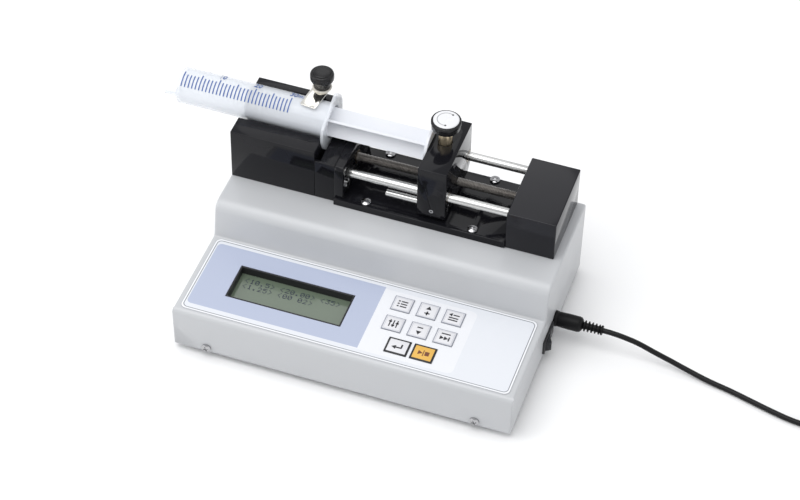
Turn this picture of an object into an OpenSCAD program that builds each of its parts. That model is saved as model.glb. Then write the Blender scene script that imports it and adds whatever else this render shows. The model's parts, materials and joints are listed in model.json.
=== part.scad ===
// Bench syringe pump: a sheet-metal casing with a control panel at the front
// and a screw-driven syringe carrier on the raised deck behind it.
// Origin: middle of the casing's footprint, on the surface it stands on.
// +X runs along the syringe to the drive end, +Y to the back, +Z up.

/* [Casing] */
// Width of the casing, side to side
case_w = 230; // [215:1:290]
// Depth of the casing, front to back
case_d = 160; // [140:1:200]
// Height of the control panel above the casing's base
panel_h = 31.5; // [30:0.5:40]
// Height of the rear deck above the casing's base
deck_h = 57.2; // [47:0.1:72]
// Depth of the control panel, from the front face to the riser
panel_d = 71.5; // [70:0.5:80]
// How far the riser leans back over its height
riser_lean = 4.5; // [0:0.5:6]
// Thickness of the casing's sheet metal
sheet_t = 1.2; // [0.8:0.1:1.6]
// Outer bend radius along the front edge
front_bend_r = 3.5; // [2:0.5:4]
// Outer bend radius where the riser meets the deck
deck_bend_r = 8; // [3:0.5:10]
// Height of the rubber feet
foot_h = 5; // [3:0.5:8]
// Diameter of the rubber feet
foot_d = 12; // [8:1:16]

/* [Control panel] */
// Left edge of the display opening, from the casing's left side
window_x = 28; // [20:0.5:34]
// Front edge of the display opening, from the casing's front
window_y = 22.4; // [16:0.2:26]
// Width of the display opening
window_w = 79; // [60:1:90]
// Depth of the display opening, front to back
window_d = 29; // [20:1:34]
// How far the display lies below the panel
window_recess = 5.5; // [3:0.5:7]
// Width of a small key
key_w = 13; // [10:0.5:15]
// Depth of a small key, front to back
key_d = 12.5; // [10:0.5:15]
// Width of a large key
big_key_w = 15; // [12:0.5:16]
// Depth of a large key, front to back
big_key_d = 13; // [10:0.5:15]
// Distance from one key to the next along a row
key_pitch_x = 17.4; // [16:0.2:20]
// Distance from one row of keys to the next
key_pitch_y = 18; // [16:0.5:19]
// Travel of a key
key_stroke = 0.35; // [0.2:0.05:0.5]

/* [Drive unit] */
// Depth of the drive unit, front to back
unit_d = 52.8; // [50:0.1:60]
// Length of the syringe block along the syringe
block_w = 58.8; // [48:0.2:72]
// Height of the syringe block's front land above the deck
block_h = 39.2; // [32:0.2:48]
// Depth of the syringe groove below the front land
groove_drop = 14.2; // [11:0.2:17]
// Length of the flange block along the syringe
flange_block_w = 14.1; // [11:0.1:17]
// Height of the flange block and the bearing plate above the deck
plate_h = 32; // [28:0.5:36]
// Thickness of the bearing plates
plate_t = 6.1; // [5:0.1:8]
// Thickness of the rail under the rods
rail_t = 5.2; // [4:0.1:6]
// Width of the end cover along the syringe
cover_w = 33.1; // [31:0.1:40]
// Height of the end cover above the deck
cover_h = 30.5; // [30:0.5:36]
// Diameter of the guide rods
rod_d = 6; // [4:0.5:7]
// Diameter of the lead screw
screw_d = 6; // [4:0.5:7]
// Width of the pusher block along the syringe
pusher_w = 19.5; // [16:0.5:24]
// Height of the pusher block
pusher_h = 40; // [36:0.5:46]
// Distance from the left bearing plate to the pusher at rest
pusher_gap = 50.4; // [40:0.2:60]
// Diameter of the stop rod
stop_d = 4.8; // [3:0.2:5.2]
// How far the stop rod reaches ahead of the pusher
stop_reach = 23; // [18:0.5:28]
// Diameter of the lock knob
lock_knob_d = 20; // [17:0.5:26]
// Diameter of the clamp knob
clamp_knob_d = 17; // [14:0.5:20]
// Width of the clamp strip
strip_w = 11.4; // [9:0.1:14]

/* [Syringe] */
// Outer diameter of the syringe barrel
barrel_d = 24.6; // [20:0.2:30]
// Wall of the syringe barrel
barrel_wall = 1.1; // [0.8:0.1:1.4]
// Length of the barrel from its front end to its flange
barrel_l = 104; // [90:0.5:125]
// Length of the finger flange
flange_l = 38; // [32:0.5:46]
// Width of the finger flange
flange_w = 27; // [26:0.5:34]
// Thickness of the finger flange
flange_t = 2.2; // [1.6:0.1:2.6]
// Width of the plunger's ribs
plunger_w = 19.4; // [15:0.1:20]
// Diameter of the plunger's thumb rest
thumb_d = 25; // [20:0.5:28]

/* [Power side] */
// Distance of the plug from the casing's front
plug_y = 96; // [94:0.5:110]
// Height of the plug above the casing's base
plug_z = 11; // [9:0.5:16]
// Diameter of the plug's grip
plug_d = 10.6; // [9:0.1:12]
// Length of the plug's grip
plug_l = 19.5; // [16:0.5:24]
// Distance of the power switch's middle from the casing's front
switch_y = 79.5; // [60:0.5:80]
// Length of the power switch's bezel
switch_l = 21; // [20:0.5:24]
// Height of the power switch's bezel
switch_h = 11; // [10:0.5:13]
// Angle at which the rocker rests
rocker_tilt = 12; // [8:1:14]

/* [Hidden] */
$fn = 64;
eps = 0.01;
arc_steps = 8;

// Clearances
run_gap = 0.05;    // radial, shaft in bore
slip_gap = 0.2;    // around a piece in its cut-out
open_gap = 0.3;    // between curved faces that move past each other

// Casing details
rear_bend_r = 2;
valley_r = 1.5;
base_t = 1.2;
base_lip = 9;
foot_inset = 20;
cover_screw_x = [23, case_w - 24];
cover_screw_z = 3.4;
cover_screw_d = 3;
cover_head_d = 6.5;
cover_head_h = 2;
case_points = [[0, 0], [case_d, 0], [case_d, deck_h], [panel_d + riser_lean, deck_h],
    [panel_d, panel_h], [0, panel_h]];
case_radii = [0, 0, rear_bend_r, deck_bend_r, valley_r, front_bend_r];
inner_radii = [0, 0, rear_bend_r - sheet_t + 0.2, deck_bend_r - sheet_t,
    valley_r + sheet_t, front_bend_r - sheet_t];

// Panel details
overlay_t = 0.4;
overlay_x = 3.5;
overlay_y = front_bend_r + 0.1;
overlay_r = 4;
key_rise = 0.5;
key_stem = 5;
key_foot = 7.5;
key_foot_h = 1.3;
key_x = 132;
key_y = 12;
big_key_pitch = 17.2;
big_key_x = 140;
key_row_y = [key_y + 2 * key_pitch_y, key_y + key_pitch_y, key_y];
key_places = [for (row = [0, 1], column = [0, 1, 2])
    [key_x + column * key_pitch_x, key_row_y[row], key_w, key_d]];
big_key_places = [for (column = [0, 1])
    [big_key_x + column * big_key_pitch, key_row_y[2], big_key_w, big_key_d]];
all_keys = concat(key_places, big_key_places);
board_t = 1.6;
switch_cap_h = 2.1;
key_bottom_z = panel_h - sheet_t - 0.1 - key_foot_h;
key_board_z = key_bottom_z - key_stroke - 0.4 - switch_cap_h;
glass_t = 4.4;
glass_z = panel_h - window_recess;
bezel_t = 1;
lcd_margin = 8;
main_board_z = 7.2;

// Drive unit: places from the casing's left, front and base
unit_y = case_d - unit_d - 2.7;
unit_rear = unit_y + unit_d;
block_x = 0.5;
flange_x = block_x + block_w;
left_plate_x = flange_x + flange_block_w;
span_x = left_plate_x + plate_t;
cover_x = case_w - 5.7 - cover_w;
right_plate_x = cover_x;
right_plate_end = right_plate_x + plate_t;
pusher_x = span_x + pusher_gap;
rail_y = unit_y - 3;
rail_top = deck_h + rail_t;
rod_z = deck_h + 22.8;
rod_front_y = unit_y + 6.8;
rod_rear_y = unit_y + unit_d - 4;
screw_y = unit_y + 27.8;
screw_z = deck_h + 18.2;
stop_z = deck_h + 13.3;
land_z = deck_h + block_h;
rear_land_z = land_z + 4;
groove_y = unit_y + 29;
groove_z = land_z - groove_drop;
plate_top = deck_h + plate_h;
cover_top = deck_h + cover_h;
cover_y = unit_y - 2;
cover_rear = unit_rear + 1.2;
cover_wall = 1.2;
pusher_z = rail_top + 3.1;
pusher_top = pusher_z + pusher_h;
pusher_chamfer = 5;
rod_seat = 5;
bush_wall = 1;
bearing_d = screw_d + 4;
drive_screw_d = 3;
drive_head_d = 6.6;
drive_head_h = 2;
plate_screw_d = 7;
plate_head_h = 2.2;
rail_screw_x = [span_x + 15.3, cover_x - 23.2];
rail_screw_y = [unit_y + 1.2, unit_y + 50.5];
plate_screw_y = [unit_y + 6.3, unit_y + 48.3];

// Drive train
gear_module = 0.5;
gear_teeth = 36;
pinion_teeth = 18;
gear_w = 4;
gear_gap = 2;
gear_x = right_plate_end + gear_gap;
gear_hub_d = screw_d + 5;
screw_end = gear_x + gear_w + gear_gap * 0.1;
centre_distance = gear_module * (gear_teeth + pinion_teeth) / 2;
motor_drop = 3.4;
motor_y = screw_y - sqrt(pow(centre_distance, 2) - pow(motor_drop, 2));
motor_z = screw_z - motor_drop;
motor_d = 22;
motor_gap = 0.9;
bracket_t = 1.5;
bracket_x = gear_x + gear_w + 1.4;
motor_x = bracket_x + bracket_t;
motor_l = cover_x + cover_w - cover_wall - motor_gap - motor_x;
motor_shaft_d = 2;
mesh_angle = atan2(motor_z - screw_z, motor_y - screw_y);

// Lock: the knob's shaft, its collar and the half nut below
lock_x = pusher_x + 8.6;
lock_y = unit_y + 30.5;
set_screw_x = pusher_x + 10;
collar_d = 9;
collar_rise = 9.5;
collar_sink = 10;
lock_shaft_d = 6;
nut_w = 13;
nut_l = 18;
nut_top = screw_z + 11.6;
nut_lift = 2.5;
nut_stem_d = 3;
nut_stem_l = 10;
pocket_gap = 0.2;
pocket_top = nut_top + nut_lift + 1;
shaft_bottom = pocket_top + 0.5;
knob_z = pusher_top + collar_rise + 0.2;
knob_h = 9;
cap_t = 0.8;
cap_d = lock_knob_d - 3;

// Syringe in its groove
barrel_r = barrel_d / 2;
groove_rest = 0.02;
syringe_z = groove_z + (barrel_r + groove_rest) * sqrt(2);
barrel_end = flange_x + slip_gap;
barrel_front = barrel_end - barrel_l;
bore_r = barrel_r - barrel_wall;
flange_turn = 23;
slot_w = flange_t + 2 * slip_gap + 0.6;
slot_lip = 2.5;
slot_z = syringe_z - flange_w / 2 - flange_l / 2 * sin(flange_turn) + 2;
nozzle_drop = 7;
nozzle_l = 10;
nozzle_tip_d = 4;
nozzle_root_d = 4.7;
nozzle_bore_d = 2;
gasket_x = barrel_front + 46.1;
gasket_l = 7;
gasket_groove = 0.8;
rib_t = 1.6;
rib_turn = 45;
thumb_t = 2;

// Clamp on the syringe block
post_d = 5;
clamp_x = block_x + 47.9;
clamp_y = groove_y + barrel_r + 0.6 + post_d / 2;
strip_t = 0.8;
strip_z = syringe_z + barrel_r + open_gap;
strip_front = 21;
strip_rear = 5.5;
strip_turn = -7.2;
washer_t = 1;
washer_d = 13;
clamp_knob_z = strip_z + strip_t + washer_t;
neck_h = 5.5;
neck_d = clamp_knob_d * 0.69;
clamp_cap_h = 7;
chamber_d = 9;
chamber_top = deck_h + 20.8;
collar_z = deck_h + 1.3;
collar_t = 2;
spring_wire = 0.8;
spring_d = 7;
spring_turns = 7;

// Power side
wall_x = case_w;
jack_l = 13;
jack_bore_d = 6;
jack_nose_d = 7.8;
sleeve_d = 5.5;
sleeve_l = 9.5;
boot_l = 13.5;
boot_ribs = 5;
switch_z = 9;
switch_wall = 1;
switch_depth = 12;
bezel_rise = 1.5;
rocker_r = 9;
rocker_t = 8;
pivot_x = wall_x - 1.5;
pivot_d = 2.4;

// Lead: the route's own points, on the surface that the pump stands on
lead_d = 3.6;
lead_sides = 8;
lead_run_points = [[148, 16, 16], [154, 16, 15.8], [162, 16, 14.8], [172, 16, 12.6],
    [183, 15, 9.6], [195, 14, 6.4], [208, 12, 3.8], [222, 9, 2.4], [237, 6, 2],
    [252, 2, 2], [267, -2, 2], [281, -5, 2], [294, -6, 2], [306, -6, 2], [318, -6, 2]];
coil_centre = [318, 17.6];
coil_rows = 3;
coil_layers = 4;
coil_r = 23.6 + lead_d / 2;
adapter_x = 341.6;
adapter_y = 40;
adapter_w = 40;
adapter_l = 46;
adapter_h = 30;
relief_l = 12;
relief_z = 12.6;

// ---- helpers ----

function unit(v) = v / norm(v);

// A corner of an outline moved inwards by t, for points in anticlockwise order
function inset_point(a, p, b, t) =
    let (d1 = unit(p - a), d2 = unit(b - p), n1 = [-d1[1], d1[0]], n2 = [-d2[1], d2[0]])
    p + (n1 + n2) * t / (1 + n1 * n2);

function inset_points(points, t) = [for (i = [0:len(points) - 1])
    inset_point(points[(i + len(points) - 1) % len(points)], points[i],
        points[(i + 1) % len(points)], t)];

// Moves a shape given from the casing's left, front and base into the part's frame
module at_case(x, y, z) {
    translate([x - case_w / 2, y - case_d / 2, z + foot_h]) children();
}

// Extrudes an outline in Y and Z along X
module along_x(length) {
    rotate([90, 0, 90]) linear_extrude(length) children();
}

module rod_x(d, length) {
    rotate([0, 90, 0]) cylinder(d = d, h = length);
}

// The points that round off corner p between a and b
function round_corner(a, p, b, r) =
    let (u = unit(a - p), v = unit(b - p), half = acos(u * v) / 2,
        centre = p + unit(u + v) * r / sin(half), start = p + u * r / tan(half) - centre,
        turn = (cross(b - p, a - p) > 0 ? 1 : -1) * (180 - 2 * half),
        from = atan2(start[1], start[0]))
    [for (i = [0:arc_steps]) centre + r * [cos(from + turn * i / arc_steps),
        sin(from + turn * i / arc_steps)]];

// An outline, in anticlockwise order, with a round at each corner that has a radius
module outline(points, radii) {
    last = len(points) - 1;
    polygon([for (i = [0:last]) each radii[i] == 0 ? [points[i]]
        : round_corner(points[i == 0 ? last : i - 1], points[i],
            points[i == last ? 0 : i + 1], radii[i])]);
}

// A flat plate with round corners
module rounded_plate(w, d, h, r) {
    linear_extrude(h) {
        translate([r, 0]) square([w - 2 * r, d]);
        translate([0, r]) square([w, d - 2 * r]);
        for (x = [r, w - r], y = [r, d - r]) translate([x, y]) circle(r);
    }
}

// A screw with a domed head above z = 0 and its shank below
module pan_screw(head_d, head_h, shank_d, length) {
    sag = head_h * 0.5;
    dome_r = (pow(head_d / 2, 2) + pow(sag, 2)) / (2 * sag);
    difference() {
        union() {
            intersection() {
                cylinder(d = head_d, h = head_h);
                translate([0, 0, head_h - dome_r]) sphere(dome_r);
            }
            translate([0, 0, -length]) cylinder(d = shank_d, h = length + head_h / 4);
        }
        for (turn = [0, 90])
            rotate([0, 0, turn + 20])
                translate([-head_d * 0.28, -0.45, head_h * 0.55])
                    cube([head_d * 0.56, 0.9, head_h]);
    }
}

// A round tube swept along points that never run straight up
module swept_tube(points, d, sides) {
    last = len(points) - 1;
    rings = [for (i = [0:last])
        let (tangent = unit(points[min(i + 1, last)] - points[max(i - 1, 0)]),
            side = unit(cross(tangent, [0, 0, 1])), up = cross(side, tangent))
        for (k = [0:sides - 1])
            points[i] + d / 2 * (cos(360 * k / sides) * side + sin(360 * k / sides) * up)];
    walls = [for (i = [0:last - 1], k = [0:sides - 1])
        [i * sides + k, i * sides + (k + 1) % sides,
            (i + 1) * sides + (k + 1) % sides, (i + 1) * sides + k]];
    caps = [[for (k = [0:sides - 1]) sides - 1 - k], [for (k = [0:sides - 1]) last * sides + k]];
    polyhedron(points = rings, faces = concat(walls, caps), convexity = 8);
}

// Involute spur gear outline; the first tooth is centred on the first axis
function involute(a) = tan(a) * 180 / PI - a;
function flank_angle(r, base_r, half) = half - involute(acos(min(1, base_r / r)));
module gear_outline(teeth) {
    pitch_r = gear_module * teeth / 2;
    base_r = pitch_r * cos(20);
    root_r = pitch_r - 1.25 * gear_module;
    tip_r = pitch_r + 0.9 * gear_module;
    half = 90 / teeth + involute(20) - 0.06 / pitch_r * 180 / PI;
    start_r = max(base_r, root_r);
    steps = 4;
    radii = [for (i = [0:steps]) start_r + (tip_r - start_r) * i / steps];
    polygon([for (i = [0:teeth - 1])
        let (a = 360 * i / teeth, at_root = flank_angle(start_r, base_r, half))
        each concat(
            [root_r * [cos(a - at_root), sin(a - at_root)]],
            [for (r = radii) r * [cos(a - flank_angle(r, base_r, half)),
                sin(a - flank_angle(r, base_r, half))]],
            [for (k = [steps:-1:0]) let (r = radii[k])
                r * [cos(a + flank_angle(r, base_r, half)),
                    sin(a + flank_angle(r, base_r, half))]],
            [root_r * [cos(a + at_root), sin(a + at_root)]])]);
}

// ---- casing ----

module cover_screw_places() {
    for (x = cover_screw_x) {
        translate([x, 0, cover_screw_z]) rotate([90, 0, 0]) children();
        translate([x, case_d, cover_screw_z]) rotate([-90, 0, 0]) children();
    }
}

module rail_screw_places() {
    for (x = rail_screw_x, y = rail_screw_y) translate([x, y, rail_top]) children();
}

module plate_screw_places() {
    for (y = plate_screw_y) translate([span_x, y, stop_z]) rotate([0, 90, 0]) children();
}

module screw_hole(d, length) {
    translate([0, 0, -length]) cylinder(d = d + 2 * run_gap, h = length + 5);
}

module housing_cover() {
    color("#dfe2e6") at_case(0, 0, 0) difference() {
        along_x(case_w) outline(case_points, case_radii);
        translate([sheet_t, 0, 0]) along_x(case_w - 2 * sheet_t)
            outline(inset_points(case_points, sheet_t), inner_radii);
        translate([sheet_t, sheet_t, -1])
            cube([case_w - 2 * sheet_t, case_d - 2 * sheet_t, 2 + sheet_t]);
        translate([window_x - slip_gap, window_y - slip_gap, panel_h - 2 * sheet_t])
            cube([window_w + 2 * slip_gap, window_d + 2 * slip_gap, 4 * sheet_t]);
        for (k = all_keys)
            translate([k[0] + k[2] / 2, k[1] + k[3] / 2, panel_h])
                cube([key_stem + 0.6, key_stem + 0.6, 4 * sheet_t], center = true);
        cover_screw_places() screw_hole(cover_screw_d, 4);
        rail_screw_places() screw_hole(drive_screw_d, rail_t + 3);
        translate([wall_x - 2 * sheet_t, plug_y, plug_z])
            rod_x(jack_nose_d + 2 * run_gap, 4 * sheet_t);
        translate([wall_x - 2 * sheet_t, switch_y - switch_l / 2 + switch_wall,
            switch_z - switch_h / 2 + switch_wall / 2])
            cube([4 * sheet_t, switch_l - 2 * switch_wall, switch_h - switch_wall]);
        translate([cover_x + cover_w - 8, unit_rear - 12, deck_h - 3]) cylinder(d = 8, h = 6);
    }
}

module base_plate() {
    side = sheet_t + open_gap;
    color("#c9ccd1") at_case(0, 0, 0) difference() {
        union() {
            translate([side, sheet_t, 0]) cube([case_w - 2 * side, case_d - 2 * sheet_t, base_t]);
            for (y = [sheet_t, case_d - sheet_t - base_t])
                translate([side, y, 0]) cube([case_w - 2 * side, base_t, base_lip]);
        }
        cover_screw_places() screw_hole(cover_screw_d, 4);
    }
}

module rubber_feet() {
    color("#26272a") at_case(0, 0, 0)
        for (x = [foot_inset, case_w - foot_inset], y = [foot_inset, case_d - foot_inset])
            translate([x, y, -foot_h]) rotate_extrude()
                polygon([[0, 1], [foot_d / 4, 1], [foot_d / 4, 0], [foot_d / 2 - 1, 0],
                    [foot_d / 2, foot_h], [0, foot_h]]);
}

module cover_screws() {
    color("silver") at_case(0, 0, 0)
        cover_screw_places() pan_screw(cover_head_d, cover_head_h, cover_screw_d, 3);
}

// ---- control panel ----

module panel_overlay() {
    color("#c3cbe6") at_case(0, 0, panel_h) difference() {
        translate([overlay_x, overlay_y, 0])
            rounded_plate(case_w - 2 * overlay_x - 0.5, panel_d - valley_r - overlay_y - 0.2,
                overlay_t, overlay_r);
        translate([window_x - slip_gap, window_y - slip_gap, -1])
            cube([window_w + 2 * slip_gap, window_d + 2 * slip_gap, 3]);
        for (k = all_keys)
            translate([k[0] - slip_gap, k[1] - slip_gap, -1])
                cube([k[2] + 2 * slip_gap, k[3] + 2 * slip_gap, 3]);
    }
}

module display_bezel() {
    color("#101113") at_case(window_x, window_y, glass_z) difference() {
        cube([window_w, window_d, window_recess + overlay_t]);
        translate([bezel_t, bezel_t, -1])
            cube([window_w - 2 * bezel_t, window_d - 2 * bezel_t, window_recess + 3]);
    }
}

module display_module() {
    color("#5f7a5c") at_case(window_x, window_y, glass_z) {
        translate([-1, -1, -glass_t - eps]) cube([window_w + 2, window_d + 2, glass_t + eps]);
        translate([-lcd_margin, -lcd_margin, -glass_t - board_t])
            cube([window_w + 2 * lcd_margin, window_d + 2 * lcd_margin, board_t]);
    }
}

// One key: its cap, the stem through the panel and the foot that keeps it in
module panel_key(place, tint) {
    middle = [place[0] + place[2] / 2, place[1] + place[3] / 2];
    cap_z = panel_h + key_stroke + 0.05;
    color(tint) at_case(0, 0, 0) {
        translate([place[0], place[1], cap_z]) cube([place[2], place[3], key_rise]);
        translate([middle[0] - key_stem / 2, middle[1] - key_stem / 2, key_bottom_z + eps])
            cube([key_stem, key_stem, cap_z - key_bottom_z]);
        translate([middle[0] - key_foot / 2, middle[1] - key_foot / 2, key_bottom_z])
            cube([key_foot, key_foot, key_foot_h]);
    }
}

module select_key() panel_key(key_places[0], "white");
module increase_key() panel_key(key_places[1], "white");
module recall_key() panel_key(key_places[2], "white");
module control_key() panel_key(key_places[3], "white");
module decrease_key() panel_key(key_places[4], "white");
module advance_key() panel_key(key_places[5], "white");
module enter_key() panel_key(big_key_places[0], "white");
module run_key() panel_key(big_key_places[1], "#f5a31e");

module key_board() {
    color("#2f6b3f") at_case(key_x - 6, key_y - 4, key_board_z - board_t)
        cube([3 * key_pitch_x + 8, 3 * key_pitch_y + 2, board_t]);
}

module key_switches() {
    color("#3a3b3e") at_case(0, 0, key_board_z)
        for (k = all_keys)
            translate([k[0] + k[2] / 2, k[1] + k[3] / 2, 0]) {
                translate([-3, -3, 0]) cube([6, 6, switch_cap_h]);
                cylinder(d = 3.5, h = switch_cap_h + 0.35);
            }
}

module main_board() {
    board_w = case_w - 50;
    board_d = case_d - 50;
    color("#2f6b3f") at_case(20, 25, main_board_z) {
        cube([board_w, board_d, board_t]);
        translate([board_w * 0.25, board_d * 0.3, board_t - eps]) cube([22, 22, 3]);
        translate([board_w * 0.6, board_d * 0.6, board_t - eps]) cube([28, 20, 12]);
        for (i = [0:2])
            translate([board_w * 0.3 + i * 14, board_d * 0.75, board_t - eps])
                cylinder(d = 10, h = 14);
    }
}

module board_standoffs() {
    color("#b8a45a") at_case(0, 0, 0) {
        for (x = [26, case_w - 36], y = [31, case_d - 31])
            translate([x, y, base_t]) cylinder(d = 6, h = main_board_z - base_t);
        for (x = [window_x - 4.5, window_x + window_w + 4.5],
            y = [window_y - 4.5, window_y + window_d + 4.5])
            translate([x, y, glass_z - glass_t])
                cylinder(d = 5, h = panel_h - sheet_t - glass_z + glass_t);
        for (x = [key_x - 3.4, key_x + 3 * key_pitch_x - 0.8], y = [key_y + 9, key_y + 45])
            translate([x, y, key_board_z])
                cylinder(d = 4, h = panel_h - sheet_t - key_board_z);
    }
}

// ---- power side ----

module power_jack() {
    color("#1b1c1e") at_case(wall_x - sheet_t, plug_y, plug_z) {
        difference() {
            union() {
                translate([-jack_l, -4.5, -5.5]) cube([jack_l, 9, 11]);
                translate([-eps, 0, 0]) rod_x(jack_nose_d, sheet_t + eps);
            }
            translate([-sleeve_l - 1, 0, 0]) rod_x(jack_bore_d, sleeve_l + 5);
        }
        translate([-sleeve_l - 1.5, 0, 0]) rod_x(1.9, sleeve_l);
    }
}

module dc_plug() {
    color("#17181a") at_case(wall_x, plug_y, plug_z) difference() {
        union() {
            translate([-sleeve_l, 0, 0]) rod_x(sleeve_d, sleeve_l + 2);
            rotate([0, 90, 0]) rotate_extrude()
                outline([[0, 0], [plug_d / 2, 0], [plug_d / 2, plug_l], [0, plug_l]],
                    [0, 0, 2, 0]);
        }
        translate([-sleeve_l - 1, 0, 0]) rod_x(2.3, sleeve_l);
    }
}

module plug_boot() {
    color("#17181a") at_case(wall_x + plug_l, plug_y, plug_z) {
        rod_x(lead_d + 1.4, boot_l);
        for (i = [0:boot_ribs - 1])
            translate([i * boot_l / boot_ribs + 0.8, 0, 0]) rod_x(7.6 - i * 0.25, 1.7);
    }
}

module power_switch_body() {
    inner_l = 2 * rocker_r + 0.5;
    inner_h = rocker_t + 0.6;
    color("#141517") at_case(wall_x, switch_y, switch_z) difference() {
        union() {
            translate([0, -switch_l / 2, -switch_h / 2]) cube([bezel_rise, switch_l, switch_h]);
            translate([-switch_depth, -switch_l / 2 + switch_wall + slip_gap / 2,
                -switch_h / 2 + switch_wall / 2 + slip_gap / 2])
                cube([switch_depth + eps, switch_l - 2 * switch_wall - slip_gap,
                    switch_h - switch_wall - slip_gap]);
            for (y = [-5, 3])
                translate([-switch_depth - 6, y, -0.4]) cube([7, 3, 0.8]);
        }
        translate([-switch_depth + 1, -inner_l / 2, -inner_h / 2])
            cube([switch_depth + 5, inner_l, inner_h]);
        translate([pivot_x - wall_x, 0, -switch_h])
            cylinder(d = pivot_d + 2 * run_gap, h = 2 * switch_h);
    }
}

module power_switch_rocker() {
    pin_l = switch_h - switch_wall - slip_gap;
    color("#1d1e21") at_case(pivot_x, switch_y, switch_z) rotate([0, 0, rocker_tilt]) {
        translate([0, 0, -rocker_t / 2]) linear_extrude(rocker_t) difference() {
            intersection() {
                circle(rocker_r);
                translate([-4, -rocker_r]) square([10.5, 2 * rocker_r]);
            }
            translate([22, 0]) circle(18.5);
        }
        translate([0, 0, -pin_l / 2]) cylinder(d = pivot_d, h = pin_l);
    }
}

// ---- drive unit ----

module syringe_block() {
    color("#1a1b1f") at_case(block_x, 0, 0) difference() {
        along_x(block_w) polygon([[unit_y, deck_h], [unit_rear, deck_h],
            [unit_rear, rear_land_z], [groove_y + rear_land_z - groove_z, rear_land_z],
            [groove_y, groove_z], [groove_y - groove_drop, land_z], [unit_y, land_z]]);
        translate([clamp_x - block_x, clamp_y, deck_h - 1]) {
            cylinder(d = post_d + 2 * run_gap, h = block_h + 20);
            cylinder(d = chamber_d, h = chamber_top - deck_h + 1);
        }
    }
}

module flange_block() {
    color("#1a1b1f") at_case(flange_x, 0, 0) difference() {
        translate([0, unit_y, deck_h]) cube([flange_block_w, unit_d, plate_h - 0.1]);
        translate([-1, unit_y + slot_lip, slot_z]) cube([slot_w + 1, unit_d, plate_h]);
        translate([-flange_x, 0, 0]) plate_screw_places()
            screw_hole(drive_screw_d, plate_t + 4.2);
    }
}

module bearing_plate_left() {
    front = unit_y - 1.5;
    color("#1e1f23") at_case(left_plate_x, 0, 0) difference() {
        along_x(plate_t) polygon([[front, rail_top], [unit_rear, rail_top],
            [unit_rear, plate_top], [front + 2, plate_top], [front, plate_top - 2]]);
        for (y = [rod_front_y, rod_rear_y])
            translate([plate_t - rod_seat, y, rod_z]) rod_x(rod_d, rod_seat + 1);
        translate([-1, screw_y, screw_z]) rod_x(bearing_d, plate_t + 2);
        translate([-left_plate_x, 0, 0]) plate_screw_places()
            screw_hole(drive_screw_d, plate_t + 1);
    }
}

module bearing_plate_right() {
    color("#1e1f23") at_case(right_plate_x, 0, 0) difference() {
        translate([0, cover_y + cover_wall, deck_h])
            cube([plate_t, cover_rear - cover_y - 2 * cover_wall, cover_h - cover_wall]);
        for (y = [rod_front_y, rod_rear_y])
            translate([-1, y, rod_z]) rod_x(rod_d, rod_seat + 1);
        translate([-1, screw_y, screw_z]) rod_x(bearing_d, plate_t + 2);
    }
}

module drive_rail() {
    color("#1c1d21") at_case(left_plate_x, rail_y, deck_h) difference() {
        cube([cover_x - left_plate_x, unit_rear - rail_y - 0.3, rail_t]);
        translate([-left_plate_x, -rail_y, -deck_h])
            rail_screw_places() screw_hole(drive_screw_d, rail_t + 1);
    }
}

module drive_screws() {
    color("silver") at_case(0, 0, 0) {
        rail_screw_places() pan_screw(drive_head_d, drive_head_h, drive_screw_d, rail_t + 2.5);
        plate_screw_places() pan_screw(plate_screw_d, plate_head_h, drive_screw_d, plate_t + 4);
    }
}

module end_cover() {
    color("#151619") at_case(cover_x, cover_y, deck_h) difference() {
        cube([cover_w, cover_rear - cover_y, cover_h]);
        translate([-1, cover_wall, -1])
            cube([cover_w - cover_wall + 1, cover_rear - cover_y - 2 * cover_wall,
                cover_h - cover_wall + 1]);
    }
}

module guide_rod(y) {
    color("#d5d7da") at_case(span_x - rod_seat, y, rod_z)
        rod_x(rod_d, right_plate_x - span_x + 2 * rod_seat);
}

module guide_rod_front() guide_rod(rod_front_y);
module guide_rod_rear() guide_rod(rod_rear_y);

module screw_bearings() {
    color("#b08d4a") at_case(0, screw_y, screw_z)
        for (x = [left_plate_x, right_plate_x])
            translate([x, 0, 0]) difference() {
                rod_x(bearing_d, plate_t);
                translate([-1, 0, 0]) rod_x(screw_d + 2 * run_gap, plate_t + 2);
            }
}

module lead_screw() {
    color("#5b5249") at_case(left_plate_x + 1, screw_y, screw_z)
        rod_x(screw_d, screw_end - left_plate_x - 1);
}

module screw_gear() {
    color("#c2a256") at_case(gear_x, screw_y, screw_z) difference() {
        union() {
            along_x(gear_w) rotate(mesh_angle) gear_outline(gear_teeth);
            translate([-gear_gap / 2, 0, 0]) rod_x(gear_hub_d, gear_w + gear_gap / 2);
        }
        translate([-gear_gap, 0, 0]) rod_x(screw_d, gear_w + 2 * gear_gap);
    }
}

module motor() {
    color("#a9abae") at_case(motor_x, motor_y, motor_z) difference() {
        union() {
            rod_x(motor_d, motor_l);
            translate([-bracket_t, 0, 0]) rod_x(8, bracket_t + eps);
        }
        translate([-3, 0, 0]) rod_x(motor_shaft_d + 2 * run_gap, 8);
    }
}

module motor_bracket() {
    width = motor_d + 6;
    color("#b9bbbe") at_case(bracket_x, motor_y - width / 2, deck_h) difference() {
        union() {
            cube([bracket_t, width, motor_z - deck_h + motor_d / 2 + 1]);
            cube([10, width, bracket_t]);
        }
        translate([-1, width / 2, motor_z - deck_h]) rod_x(8, 4);
    }
}

module motor_shaft() {
    color("silver") at_case(gear_x - 0.5, motor_y, motor_z)
        rod_x(motor_shaft_d, motor_x - gear_x + 4);
}

module motor_pinion() {
    color("#c2a256") at_case(gear_x, motor_y, motor_z) difference() {
        along_x(gear_w) rotate(mesh_angle + 180 + 180 / pinion_teeth)
            gear_outline(pinion_teeth);
        translate([-1, 0, 0]) rod_x(motor_shaft_d, gear_w + 2);
    }
}

// ---- carriage ----

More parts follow.
